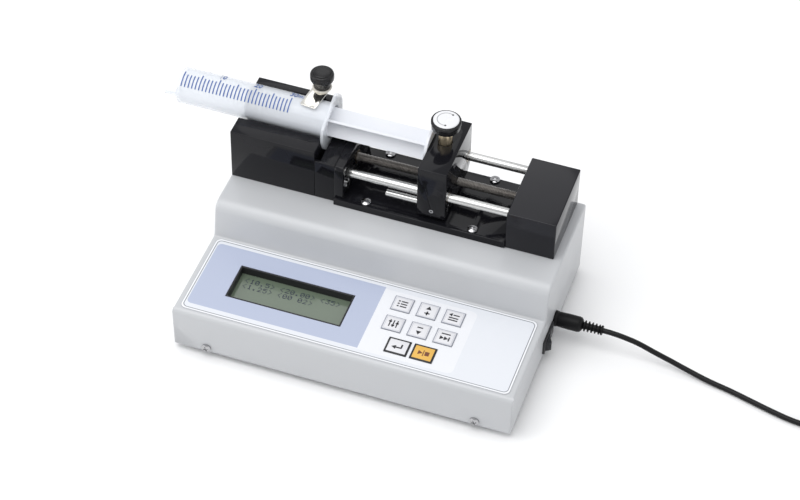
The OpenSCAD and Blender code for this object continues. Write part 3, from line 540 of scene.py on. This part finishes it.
made = {name: makeFinish(name, look) for name, look in finishes.items()}
slotOf = {part["node"]: part["material_slot"] for part in frame["record"]["subparts"]}
for node, piece in frame["nodes"].items():
    piece.data.materials.clear()
    piece.data.materials.append(made[slotOf[node]])
print("finishes made")


def dress(piece, finish, body, *nodes):
    piece.data.materials.clear()
    piece.data.materials.append(made[finish])
    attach(piece, body)
    if nodes:
        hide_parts(*nodes)
    return piece


# casing

casing = {"sideRadius": 1.5, "segments": 4, "reach": 0.01}


def makeCover(look):
    # the sheet-metal cover, with its side edges folded over softly
    piece = mergedCopy("housing_cover", "cover_shell")
    low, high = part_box("housing_cover")
    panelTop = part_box("panel_overlay")[0].z - 0.1 * mm
    reach = look["reach"] * mm  # how near to a side counts as on it

    def onSideEdge(a, b):
        onSide = all(abs(abs(p.x) - high.x) < reach for p in (a, b)) and a.x * b.x > 0
        outer = all(p.z > panelTop or abs(p.y) > high.y - reach for p in (a, b))
        along = not all(p.z < low.z + reach for p in (a, b))
        return onSide and outer and along

    markEdges(piece, onSideEdge)
    bpy.ops.mesh.bevel(offset=look["sideRadius"] * mm, segments=look["segments"],
        profile=0.5, affect="EDGES", clamp_overlap=False)
    bpy.ops.object.mode_set(mode="OBJECT")
    smooth(piece, 40)
    return dress(piece, "cover_paint", "casing", "housing_cover")


makeCover(casing)

# parts that only need their edges broken: radius in millimetres, and the least angle that is broken
edged = {
    "syringe_block": (0.5, 3), "flange_block": (0.45, 3), "bearing_plate_left": (0.45, 3),
    "drive_rail": (0.4, 3), "end_cover": (0.7, 4), "pusher_block": (0.5, 3),
    "base_plate": (0.3, 2), "display_bezel": (0.15, 2), "clamp_strip": (0.18, 2),
    "clamp_washer": (0.25, 3), "power_switch_body": (0.5, 3),
    "power_switch_rocker": (0.5, 3), "lock_collar": (0.35, 3),
    "motor": (0.5, 3), "guide_rod_front": (0.3, 2), "guide_rod_rear": (0.3, 2),
    "stop_rod": (0.4, 3), "bearing_plate_right": (0.3, 2), "rubber_feet": (0.6, 3),
}
for node, (radius, steps) in edged.items():
    piece = mergedCopy(node, node + "_edged")
    roundEdges(piece, radius, steps)
    smooth(piece)
    dress(piece, slotOf[node], bodyOf(node), node)
print("casing and blocks edged")

# lead screw

thread = {"pitch": 1.0, "depth": 0.55, "steps": 18}


def makeThread(look):
    # a three-cornered profile with one side left out, wound along the screw with turns to spare
    # at both ends, which are cut off afterwards
    low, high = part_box("lead_screw")
    radius = (high.z - low.z) / 2
    length = high.x - low.x
    pitch = look["pitch"] * mm
    depth = look["depth"] * mm
    deselectAll()
    bpy.ops.mesh.primitive_circle_add(vertices=3, radius=1, fill_type="NOTHING")
    piece = bpy.context.object
    piece.name = "lead_screw_thread"
    corners = sorted(piece.data.vertices, key=lambda v: v.co.y)
    span = abs(corners[0].co.x - corners[1].co.x)
    rise = corners[2].co.y - corners[0].co.y
    floorY = corners[0].co.y
    markEdges(piece, lambda a, b: abs(a.y - b.y) < tiny)
    bpy.ops.mesh.delete(type="EDGE_FACE")
    bpy.ops.mesh.select_all(action="SELECT")
    bpy.ops.transform.resize(value=(pitch / span, depth / rise, 1), center_override=(0, floorY, 0))
    bpy.ops.transform.translate(value=(0, radius - depth - floorY, 0))
    bpy.ops.object.mode_set(mode="OBJECT")
    wind = piece.modifiers.new("Screw", "SCREW")
    wind.axis = "X"
    wind.screw_offset = pitch
    wind.iterations = int(length / pitch) + 3
    wind.steps = wind.render_steps = look["steps"]
    wind.use_merge_vertices = True
    wind.merge_threshold = tiny
    applyAll(piece)
    piece.location = Vector((low.x - 1.5 * pitch, (low.y + high.y) / 2, (low.z + high.z) / 2))
    settle(piece)
    for x, keepRight in ((low.x, True), (high.x, False)):
        openMesh(piece)
        bpy.ops.object.mode_set(mode="EDIT")
        bpy.ops.mesh.select_all(action="SELECT")
        bpy.ops.mesh.bisect(plane_co=(x, 0, 0), plane_no=(1, 0, 0), use_fill=True,
            clear_inner=keepRight, clear_outer=not keepRight)
        bpy.ops.object.mode_set(mode="OBJECT")
    outwards(piece)
    smooth(piece, 30)
    return dress(piece, "screw_dark", "screw", "lead_screw")


makeThread(thread)
print("screw thread made")

# knobs and plug boot

clampKnob = {"rings": [(0, 5.3), (0.3, 5.6), (3.6, 5.7), (4.6, 6.2), (6.0, 7.5), (7.0, 7.95),
    (8.2, 8.05), (10.2, 8.0), (11.2, 7.7), (11.8, 7.1), (12.0, 6.6), (11.9, 6.25), (11.75, 6.05),
    (12.2, 5.85), (12.5, 5.4), (12.5, 2.0)]}
lockKnob = {"rings": [(0, 5.4), (0.3, 5.75), (1.2, 7.2), (2.3, 8.7), (2.9, 9.3), (3.2, 9.5),
    (6.1, 9.55), (6.3, 9.6), (6.5, 9.9), (6.8, 9.98), (8.4, 9.98), (8.8, 9.8), (9.0, 9.4), (9.0, 3.0)]}
capDisc = {"rings": [(0, 8.2), (0.15, 8.5), (0.45, 8.5), (0.68, 8.25), (0.78, 7.5), (0.8, 4.0),
    (0.8, 1.0)]}


def makeTurned(name, node, finish, look, around=72):
    low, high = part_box(node)
    middle = (low + high) / 2
    piece = turned(name, (middle.x, middle.y, low.z), "z", look["rings"], around)
    smooth(piece, 50)
    return dress(piece, finish, bodyOf(node), node)


makeTurned("clamp_knob_turned", "clamp_knob", "knob_black", clampKnob)
makeTurned("lock_knob_turned", "lock_knob", "knob_black", lockKnob)
makeTurned("lock_cap_disc", "lock_cap", "cap_white", capDisc)

capPrint = {"arc": (5.6, 6.25), "from": 67, "to": 277, "dotRadius": 0.72, "dotAt": 5.95,
    "dots": (61.6, 281.3), "arcTone": (0.36, 0.36, 0.37, 1), "dotTone": (0.03, 0.03, 0.03, 1)}


def printCap(look):
    # a grey arc with a dot at each end; angles are in degrees, from the right
    finish = made["cap_white"]
    tree = finish.node_tree
    x, y = flatCoords(finish)
    middle = centreOf("lock_cap")
    dx = calc(tree, "SUBTRACT", x, middle.x)
    dy = calc(tree, "SUBTRACT", y, middle.y)
    r = flatLength(tree, dx, dy)
    angle = calc(tree, "ARCTAN2", calc(tree, "MULTIPLY", dy, -1.0), calc(tree, "MULTIPLY", dx, -1.0))
    ring = within(tree, r, *look["arc"], 0.1)
    start = math.radians(look["from"] - 180)
    end = math.radians(look["to"] - 180)
    after = calc(tree, "GREATER_THAN", angle, start)
    before = calc(tree, "LESS_THAN", angle, end)
    arc = calc(tree, "MULTIPLY", ring, calc(tree, "MULTIPLY", after, before))
    paintOver(finish, arc, look["arcTone"])
    for turn in look["dots"]:
        at = math.radians(turn)
        ax = calc(tree, "SUBTRACT", dx, look["dotAt"] * mm * math.cos(at))
        ay = calc(tree, "SUBTRACT", dy, look["dotAt"] * mm * math.sin(at))
        away = flatLength(tree, ax, ay)
        paintOver(finish, within(tree, away, -1.0, look["dotRadius"], 0.08), look["dotTone"])


printCap(capPrint)


def makeSpring(node):
    # a smooth-shaded copy of the spring on the spring's body, with a mesh of its own
    piece = mergedCopy(node, "clamp_spring_coil")
    smooth(piece, 60)
    dress(piece, "spring_steel", bodyOf(node), node)
    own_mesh(piece)


makeSpring("clamp_spring")

# rib is one rib's outline, as (distance, change of radius), between the two ends of its foot;
# collar is the thicker end, from the boot's far end backwards
boot = {"neck": 2.2, "start": 0.5, "ribs": 5, "radius": 3.8, "shrink": 0.1, "foot": (0.1, 1.7),
    "rib": [(0.5, -0.3), (0.65, 0), (1.15, 0), (1.3, -0.3)],
    "collar": [(-1.5, 2.2), (-1.25, 3.1), (-1.0, 3.3), (-0.25, 3.3), (0, 3.0), (0, 1.9)]}


def makeBoot(look):
    # five thin ribs on a narrow neck, and a thicker collar at the end
    low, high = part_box("plug_boot")
    middle = (low + high) / 2
    length = (high.x - low.x) / mm
    top = min((high.z - low.z) / 2 / mm, look["radius"])
    rings = [(0, look["neck"] + 0.5)]
    pitch = length / (look["ribs"] + 0.6)
    for i in range(look["ribs"]):
        r = top - look["shrink"] * i
        x = look["start"] + i * pitch
        before, after = (x + d for d in look["foot"])
        rings.append((before, look["neck"]))
        rings += [(x + d, r + change) for d, change in look["rib"]]
        rings.append((after, look["neck"]))
    rings += [(length + d, r) for d, r in look["collar"]]
    piece = turned("plug_boot_ribbed", (low.x, middle.y, middle.z), "x", rings, 48)
    smooth(piece, 50)
    return dress(piece, "plug_black", bodyOf("plug_boot"), "plug_boot")


bootPiece = makeBoot(boot)

# nose is measured from the plug's tip, grip from the casing's wall
plug = {"nose": [(0, 2.25), (0.4, 2.75)], "grip": [(-0.1, 2.75), (0, 5.0), (0.3, 5.3), (2.2, 5.3),
    (2.5, 4.95), (2.9, 5.0), (10.0, 5.25), (16.6, 5.25), (17.9, 4.9), (18.8, 4.1), (19.3, 3.2),
    (19.5, 2.6)]}


def makePlug(look):
    # a narrow nose in the socket, a thin flange against the casing and a tapered grip
    low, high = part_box("dc_plug")
    middle = (low + high) / 2
    wall = (high.x - low.x) / mm - look["grip"][-1][0]
    rings = look["nose"] + [(wall + x, r) for x, r in look["grip"]]
    piece = turned("plug_grip", (low.x, middle.y, middle.z), "x", rings, 56)
    smooth(piece, 50)
    return dress(piece, "plug_black", bodyOf("dc_plug"), "dc_plug")


plugPiece = makePlug(plug)
print("turned pieces made")

# syringe

for node, radius in {"syringe_barrel": 0.45, "plunger_gasket": 0.25}.items():
    piece = mergedCopy(node, node + "_moulded")
    roundEdges(piece, radius, 3, 38)
    smooth(piece, 40)
    dress(piece, slotOf[node], bodyOf(node), node)

plunger = {"rib": 1.6, "width": 19.4, "roll": 45, "rests": (0, 4), "rest": 1.2, "restProud": 0.15,
    "thumb": 2.0, "inside": 0.4, "edge": 0.25}


def makePlunger(look):
    # crossed ribs with two discs behind the seal and a thumb rest against the pusher
    low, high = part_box("syringe_plunger")
    middle = (low + high) / 2
    across = (high.z - low.z) / 2 / mm
    edge = look["edge"]
    inside = look["inside"] * mm  # ribs and discs end apart, so that no two faces share a plane
    start = low.x + inside
    stop = high.x - look["thumb"] / 2 * mm
    length = stop - start
    where = ((start + stop) / 2, middle.y, middle.z)
    piece = box("plunger_ribs", where, (length, look["width"] * mm, look["rib"] * mm), look["roll"])
    upright = box("upright_rib", where,
        (length + inside / 4, look["rib"] * mm, look["width"] * mm), look["roll"])
    for rib in (piece, upright):
        roundEdges(rib, edge, 2)
    combine(piece, upright)
    discs = [(x, look["rest"], look["width"] / 2 + look["restProud"]) for x in look["rests"]]
    discs.append(((high.x - low.x) / mm - look["thumb"], look["thumb"], across))
    for x, thick, r in discs:
        combine(piece, turned("disc", (low.x + x * mm, middle.y, middle.z), "x",
            [(0, r - edge), (edge / 2, r - edge / 3), (edge, r), (thick - edge, r),
            (thick - edge / 2, r - edge / 3), (thick, r - edge)], 96))
    outwards(piece)
    smooth(piece, 35)
    steady = piece.modifiers.new("Weighted", "WEIGHTED_NORMAL")
    steady.keep_sharp = True
    applyAll(piece)
    return dress(piece, "plunger_white", bodyOf("syringe_plunger"), "syringe_plunger")


makePlunger(plunger)

scale = {
    "first": -156.7, "step": 2.5, "count": 31, "width": 0.85, "proud": 0.03, "film": 0.05,
    "low": 142, "short": 100, "long": 91, "numeralAt": 72, "numeralWeight": 0.12, "numeralStretch": 1.5,
    "numerals": [(10, 0, "10", 5.2), (20, 0, "20", 5.2), (30, 0, "30", 5.2), (30, 5.4, "mL", 4.2)],
}


def aroundBarrel(piece, centreY, centreZ, radius, depth):
    # wraps a flat piece, drawn with y as the arc length, round the barrel
    for vertex in piece.data.vertices:
        x, arc, lift = vertex.co
        angle = arc / radius
        r = radius + lift * depth
        vertex.co = Vector((x, centreY + r * math.cos(angle), centreZ + r * math.sin(angle)))


def makeScale(look):
    middle = centreOf("plunger_gasket")
    radius = barrelRadius() + look["proud"] * mm
    marks = []
    for i in range(look["count"]):
        x = (look["first"] + i * look["step"]) * mm
        top = look["long"] if i % 5 == 0 else look["short"]
        a0, a1 = math.radians(top) * radius, math.radians(look["low"]) * radius
        deselectAll()
        bpy.ops.mesh.primitive_grid_add(x_subdivisions=1, y_subdivisions=12, size=1,
            location=(x, (a0 + a1) / 2, 0))
        mark = bpy.context.object
        mark.scale = (look["width"] * mm, a1 - a0, 1)
        settle(mark)
        marks.append(mark)
    ticks = joinPieces(marks, "barrel_scale")
    words = []
    for i, shift, text, size in look["numerals"]:
        deselectAll()
        bpy.ops.object.text_add(location=((look["first"] + i * look["step"] + shift) * mm,
            math.radians(look["numeralAt"]) * radius, 0), rotation=(math.pi, 0, 0))
        word = bpy.context.object
        word.data.body = text
        word.data.size = size * mm
        word.data.align_x = "CENTER"
        word.data.align_y = "CENTER"
        word.data.resolution_u = 3
        word.data.offset = look["numeralWeight"] * mm
        bpy.ops.object.convert(target="MESH")
        word.scale.y = look["numeralStretch"]
        settle(word)
        words.append(word)
    both = joinPieces([ticks] + words, "barrel_scale")
    aroundBarrel(both, middle.y, middle.z, radius, 1)
    thick = both.modifiers.new("Solidify", "SOLIDIFY")
    thick.thickness = look["film"] * mm
    thick.offset = 1
    applyAll(both)
    outwards(both)
    return dress(both, "print_blue", "casing")


def barrelRadius():
    # from the points at the barrel's front end, ahead of its flange
    middle = centreOf("plunger_gasket")
    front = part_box("syringe_barrel")[0].x + 20 * mm
    return max((Vector((v.co.y, v.co.z)) - Vector((middle.y, middle.z))).length
        for v in frame["nodes"]["syringe_barrel"].data.vertices if v.co.x < front)


makeScale(scale)
print("syringe made")

# control panel

panelPrint = {
    "outline": {"low": (4.9, 5.0), "high": (224.7, 68.3), "radius": 3.4, "line": 0.5,
        "tone": (0.15, 0.16, 0.185, 1)},
    # edge is painted shadow: a grey line along the overlay's outer edge, for the shade where the film
    # meets the cover
    "edge": {"low": (3.5, 3.6), "high": (226.0, 69.8), "radius": 4, "line": 0.3,
        "tone": (0.30, 0.31, 0.34, 1)},
    "rim": {"low": (3.5, 3.6), "high": (226.0, 69.8), "radius": 4, "width": 1.3,
        "tone": (0.79, 0.80, 0.82, 1)},
    "blue": {"low": (6.2, 9.0), "high": (130.0, 65.5), "radius": 3.2, "cut": 123.5,
        "tone": (0.41, 0.455, 0.585, 1)},
    "keyField": {"low": (115.0, 8.0), "high": (187.0, 64.0), "radius": 4.0,
        "tone": (0.745, 0.755, 0.785, 1)},
}


def panelPoint(x, y):
    # from the casing's left front corner, in millimetres, to the frame
    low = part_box("housing_cover")[0]
    return (low.x + x * mm, low.y + y * mm)


def printPanel(look):
    finish = made["overlay_film"]
    tree = finish.node_tree
    x, y = flatCoords(finish)
    for name in ("rim", "keyField", "blue", "outline", "edge"):
        area = look[name]
        distance = roundBoxDistance(tree, x, y, panelPoint(*area["low"]),
            panelPoint(*area["high"]), area["radius"] * mm)
        if name == "rim":
            mask = within(tree, distance, -area["width"], 1.0)
        # outline is a printed line; edge is the painted shadow line along the film's outer edge
        elif name in ("outline", "edge"):
            mask = within(tree, distance, -area["line"], 0.0)
        else:
            mask = within(tree, distance, -200.0, 0.0)
        if "cut" in area:
            mask = calc(tree, "MULTIPLY", mask, calc(tree, "LESS_THAN", x, panelPoint(area["cut"], 0)[0]))
        paintOver(finish, mask, area["tone"])


printPanel(panelPrint)

keyLook = {
    "edge": 0.18,
    "hairline": {"at": (-1.3, -1.05), "tone": (0.45, 0.46, 0.50, 1)},
    "frame": {"inset": -1.0, "line": 1.6, "tone": (0.30, 0.315, 0.37, 1), "radius": 0.3},
    "boldFrame": {"inset": -1.0, "line": 2.2, "tone": (0.010, 0.010, 0.012, 1), "radius": 0.3},
}
keyNodes = ["select_key", "increase_key", "recall_key", "control_key", "decrease_key",
    "advance_key", "enter_key", "run_key"]


def makeKey(node, look):
    # its own finish, because the printed frame follows this key's outline
    low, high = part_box(node)
    bold = node in ("enter_key", "run_key")
    frameLook = look["boldFrame"] if bold else look["frame"]
    finish = made[slotOf[node]].copy()
    finish.name = node + "_print"
    tree = finish.node_tree
    x, y = flatCoords(finish)
    distance = roundBoxDistance(tree, x, y, (low.x, low.y), (high.x, high.y), frameLook["radius"] * mm)
    inner = -frameLook["inset"] - frameLook["line"]
    paintOver(finish, within(tree, distance, inner, -frameLook["inset"]), frameLook["tone"])
    if not bold:
        paintOver(finish, within(tree, distance, *look["hairline"]["at"]), look["hairline"]["tone"])
    piece = mergedCopy(node, node + "_cap")
    roundEdges(piece, look["edge"], 2)
    smooth(piece)
    dress(piece, slotOf[node], bodyOf(node), node)
    piece.data.materials.clear()
    piece.data.materials.append(finish)


for node in keyNodes:
    makeKey(node, keyLook)

# each sign is drawn with bars (x, y, width, height) and triangles (x, y, size, turn in degrees),
# in millimetres from the key's middle
keySigns = {
    "select_key": {"bars": [(-2.6, 2.2, 1.3, 1.1), (1.0, 2.2, 4.4, 1.0), (-2.6, 0, 1.3, 1.1),
        (1.0, 0, 4.4, 1.0), (-2.6, -2.2, 1.3, 1.1), (1.0, -2.2, 4.4, 1.0)], "triangles": []},
    "increase_key": {"bars": [(0, -2.3, 3.6, 1.0), (0, -2.3, 1.0, 3.4)],
        "triangles": [(0, 2.1, 2.1, 90)]},
    "recall_key": {"bars": [(1.3, 2.2, 4.2, 1.0), (0, -2.4, 6.4, 1.0), (0, -0.4, 6.4, 1.0)],
        "triangles": [(-2.3, 2.2, 1.7, 180)]},
    "control_key": {"bars": [(-2.4, 0, 0.8, 6.2), (0, 0, 0.8, 6.2), (2.4, 0, 0.8, 6.2),
        (-2.4, 1.4, 2.0, 1.2), (0, -1.6, 2.0, 1.2), (2.4, 0.6, 2.0, 1.2)], "triangles": []},
    "decrease_key": {"bars": [(0, 2.4, 3.8, 1.0)], "triangles": [(0, -1.7, 2.1, 270)]},
    "advance_key": {"bars": [(0, 2.8, 6.0, 1.0), (2.9, -1.0, 0.9, 3.6)],
        "triangles": [(-2.2, -1.0, 1.9, 0), (0.6, -1.0, 1.9, 0)]},
    "enter_key": {"bars": [(0.9, -0.9, 4.2, 1.1), (2.6, 0.8, 1.1, 3.0)],
        "triangles": [(-2.0, -0.9, 2.0, 180)]},
    "run_key": {"bars": [(2.4, 0, 2.9, 3.4), (0, 0, 0.6, 5.0)], "triangles": [(-2.5, 0, 2.1, 0)]},
}
signFilm = 0.04


def makeSign(node, sign):
    low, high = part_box(node)
    middle = (low + high) / 2
    z = high.z + signFilm / 2 * mm
    strokes = []
    for x, y, w, h in sign["bars"]:
        strokes.append(box("bar", (middle.x + x * mm, middle.y + y * mm, z),
            (w * mm, h * mm, signFilm * mm)))
    for x, y, size, turn in sign["triangles"]:
        deselectAll()
        bpy.ops.mesh.primitive_cylinder_add(vertices=3, radius=size * mm, depth=signFilm * mm,
            location=(middle.x + x * mm, middle.y + y * mm, z),
            rotation=(0, 0, math.radians(turn - 90)))
        stroke = bpy.context.object
        settle(stroke)
        strokes.append(stroke)
    piece = joinPieces(strokes, node + "_sign")
    dress(piece, "mark_brown" if node == "run_key" else "mark_black", bodyOf(node))


for node, sign in keySigns.items():
    makeSign(node, sign)
print("keys made")

# dot-matrix signs, five dots wide and seven high, top row first
dotSigns = {
    "0": "01110 10001 10011 10101 11001 10001 01110",
    "1": "00100 01100 00100 00100 00100 00100 01110",
    "2": "01110 10001 00001 00010 00100 01000 11111",
    "3": "11111 00010 00100 00010 00001 10001 01110",
    "5": "11111 10000 11110 00001 00001 10001 01110",
    "<": "00010 00100 01000 10000 01000 00100 00010",
    ">": "01000 00100 00010 00001 00010 00100 01000",
    ".": "00000 00000 00000 00000 00000 01100 01100",
    " ": "00000 00000 00000 00000 00000 00000 00000",
}
display = {"lines": ["<10.5> <20.00> <35>", "<1.25> <00 02>"], "dot": 0.55, "pitch": 0.56, "cell": 3.5,
    "left": 5.2, "top": 4.6, "linePitch": 5.0, "film": 0.02}


def makeDots(look):
    low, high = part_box("display_bezel")
    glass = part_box("display_module")[1].z
    cells = []
    for line, text in enumerate(look["lines"]):
        for column, letter in enumerate(text):
            for row, dots in enumerate(dotSigns[letter].split()):
                for k, dot in enumerate(dots):
                    if dot == "1":
                        cells.append((look["left"] + column * look["cell"] + k * look["pitch"],
                            look["top"] + line * look["linePitch"] + row * look["pitch"]))
    first = box("dot", (0, 0, 0), (look["dot"] * mm, look["dot"] * mm, look["film"] * mm))
    corners = [v.co.copy() for v in first.data.vertices]
    faces = [list(p.vertices) for p in first.data.polygons]
    points, polygons = [], []
    for x, y in cells:
        at = Vector((low.x + x * mm, high.y - y * mm, glass + look["film"] / 2 * mm))
        polygons += [[i + len(points) for i in face] for face in faces]
        points += [corner + at for corner in corners]
    bpy.data.objects.remove(first)
    mesh = bpy.data.meshes.new("display_dots")
    mesh.from_pydata(points, [], polygons)
    piece = bpy.data.objects.new("display_dots", mesh)
    bpy.context.scene.collection.objects.link(piece)
    dress(piece, "display_dots", "casing")


makeDots(display)
print("display made")

# adapter and coil tie

adapter = {"corner": 4.0, "edge": 1.8, "seam": 0.5, "seamDepth": 0.3, "relief": 12,
    "ribs": 4, "firstRib": (1.2, 3.75), "nextRib": (2.5, -0.32),
    "rib": [(0, -0.7), (0.3, -0.05), (0.55, 0), (1.35, 0), (1.6, -0.1), (1.9, -0.75)],
    "reliefStart": [(0, 3.9)], "reliefEnd": [(11.6, 2.3), (12.0, 2.0)],
    "bladeLength": 17, "blade": (1.5, 6.2), "bladeRoot": 0.2, "bladeGap": 12.7, "bladeHole": 1.5,
    "holeFromTip": 4}


def cutRing(piece, z):
    # a new ring of edges round the piece at this height
    openMesh(piece)
    bpy.ops.object.mode_set(mode="EDIT")
    bpy.ops.mesh.select_all(action="SELECT")
    bpy.ops.mesh.bisect(plane_co=(0, 0, z), plane_no=(0, 0, 1))
    bpy.ops.object.mode_set(mode="OBJECT")


def makeAdapter(look):
    # the plug-in power supply: a rounded body in two halves with a fine groove where they meet
    low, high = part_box("ac_adapter")
    front = low.y + look["relief"] * mm
    back = high.y - look["bladeLength"] * mm
    middle = Vector(((low.x + high.x) / 2, (front + back) / 2, (low.z + high.z) / 2))
    piece = box("adapter_body", middle, (high.x - low.x, back - front, high.z - low.z))
    markEdges(piece, lambda a, b: abs(a.x - b.x) < tiny and abs(a.y - b.y) < tiny)
    bpy.ops.mesh.bevel(offset=look["corner"] * mm, segments=6, affect="EDGES")
    bpy.ops.object.mode_set(mode="OBJECT")
    markEdges(piece, lambda a, b: abs(a.z - b.z) < tiny)
    bpy.ops.mesh.bevel(offset=look["edge"] * mm, segments=4, affect="EDGES")
    bpy.ops.object.mode_set(mode="OBJECT")
    half = look["seam"] / 2 * mm
    for z in (middle.z - 2 * half, middle.z - half, middle.z + half, middle.z + 2 * half):
        cutRing(piece, z)
    markFaces(piece, lambda c, n: abs(c.z - middle.z) < half * 0.9)
    width = high.x - low.x
    depth = back - front
    inset = 2 * look["seamDepth"] * mm
    bpy.ops.transform.resize(value=(1 - inset / width, 1 - inset / depth, 1), center_override=middle)
    bpy.ops.object.mode_set(mode="OBJECT")
    smooth(piece, 35)
    return dress(piece, "adapter_black", "casing", "ac_adapter")


def makeRelief(look):
    # ribbed sleeve where the lead goes into the body
    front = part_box("ac_adapter")[0].y + look["relief"] * mm
    end = Vector(lead["tail"][-1]) * mm
    rings = list(look["reliefStart"])
    for i in range(look["ribs"]):
        x, r = (first + i * step for first, step in zip(look["firstRib"], look["nextRib"]))
        rings += [(x + d, r + change) for d, change in look["rib"]]
    rings += look["reliefEnd"]
    piece = turned("adapter_relief", (end.x, front, end.z), "-y", rings, 40)
    smooth(piece, 50)
    return dress(piece, "adapter_black", "casing", "ac_adapter")


def makeBlades(look):
    low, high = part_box("ac_adapter")
    back = high.y - look["bladeLength"] * mm
    root = look["bladeRoot"] * mm  # how far a blade goes on inside the body
    middle = (low + high) / 2
    pieces = []
    for side in (-1, 1):
        x = middle.x + side * look["bladeGap"] / 2 * mm
        blade = box("blade", (x, (back - root + high.y) / 2, middle.z),
            (look["blade"][0] * mm, look["bladeLength"] * mm + root, look["blade"][1] * mm))
        deselectAll()
        bpy.ops.mesh.primitive_cylinder_add(vertices=24, radius=look["bladeHole"] * mm, depth=0.01,
            location=(x, high.y - look["holeFromTip"] * mm, middle.z), rotation=(0, math.pi / 2, 0))
        drill = bpy.context.object
        settle(drill)
        combine(blade, drill, "DIFFERENCE")
        pieces.append(blade)
    blades = joinPieces(pieces, "adapter_blades")
    outwards(blades)
    roundEdges(blades, 0.3, 3, 60)
    smooth(blades, 35)
    return dress(blades, "shaft_steel", "casing", "ac_adapter")


tie = {"thick": 0.6, "wide": 5.0, "corner": 3.0, "at": 180, "inner": 14.4, "outer": 25.6,
    "top": 14.5, "under": 0.3}


def makeTie(look):
    # a strap round the wound lead: an open square tube with round corners, given a wall
    x, y = lead["coilCentre"]
    r = (look["inner"] + look["outer"]) / 2
    turn = math.radians(look["at"])
    under = look["under"]
    centre = Vector((x + r * math.cos(turn), y + r * math.sin(turn), look["top"] / 2 + under)) * mm
    piece = box("coil_tie", centre, ((look["outer"] - look["inner"]) * mm, look["wide"] * mm,
        (look["top"] - 2 * under) * mm))
    markFaces(piece, lambda c, n: abs(n.y) > 0.9)
    bpy.ops.mesh.delete(type="ONLY_FACE")
    bpy.ops.object.mode_set(mode="OBJECT")
    markEdges(piece, lambda a, b: abs(a.y - b.y) > 1e-4)
    bpy.ops.mesh.bevel(offset=look["corner"] * mm, segments=5, affect="EDGES")
    bpy.ops.object.mode_set(mode="OBJECT")
    wall = piece.modifiers.new("Solidify", "SOLIDIFY")
    wall.thickness = look["thick"] * mm
    wall.offset = 1
    applyAll(piece)
    outwards(piece)
    smooth(piece, 40)
    return dress(piece, "tie_grey", "casing")


adapterPiece = makeAdapter(adapter)
reliefPiece = makeRelief(adapter)
bladesPiece = makeBlades(adapter)
tiePiece = makeTie(tie)

leadPiece.data.materials.append(made["lead_black"])
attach(leadPiece, "casing")
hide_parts("lead_run", "lead_coil")
print("lead and adapter placed")

# floor and light

studio = {
    "floorSize": 12,
    "floorPaint": dict(base=(0.93, 0.93, 0.93), vary=0.004, rough=(0.6, 0.7), patch=3, grain=300,
        bump=0.01),
    "world": (0.97, 0.98, 1.0), "worldPower": 0.68, "aim": (0.03, 0.0, 0.05),
    "lamps": [
        {"name": "topLamp", "at": (-0.25, -0.3, 1.5), "size": 1.5, "power": 14},
        {"name": "backLamp", "at": (-0.4, 1.3, 1.45), "size": 1.2, "power": 2.6},
        {"name": "leftLamp", "at": (-1.3, -0.7, 0.7), "size": 1.0, "power": 5},
        {"name": "rightLamp", "at": (1.4, 0.3, 0.6), "size": 1.0, "power": 1.5},
    ],
}


def makeStudio(look):
    deselectAll()
    bpy.ops.mesh.primitive_plane_add(size=look["floorSize"])
    floor = bpy.context.object
    floor.name = "floor"
    floor.data.materials.append(makeFinish("floor_paint", look["floorPaint"]))
    world = bpy.data.worlds.new("studio")
    world.use_nodes = True
    background = world.node_tree.nodes["Background"]
    background.inputs["Color"].default_value = (*look["world"], 1)
    background.inputs["Strength"].default_value = look["worldPower"]
    bpy.context.scene.world = world
    for lamp in look["lamps"]:
        data = bpy.data.lights.new(lamp["name"], "AREA")
        data.shape = "DISK"
        data.size = lamp["size"]
        data.energy = lamp["power"]
        light = bpy.data.objects.new(lamp["name"], data)
        bpy.context.scene.collection.objects.link(light)
        light.location = lamp["at"]
        aim = Vector(look["aim"]) - Vector(lamp["at"])
        light.rotation_euler = aim.to_track_quat("-Z", "Y").to_euler()
    bpy.context.scene.view_settings.view_transform = "Standard"


makeStudio(studio)
print("studio made")

deselectAll()
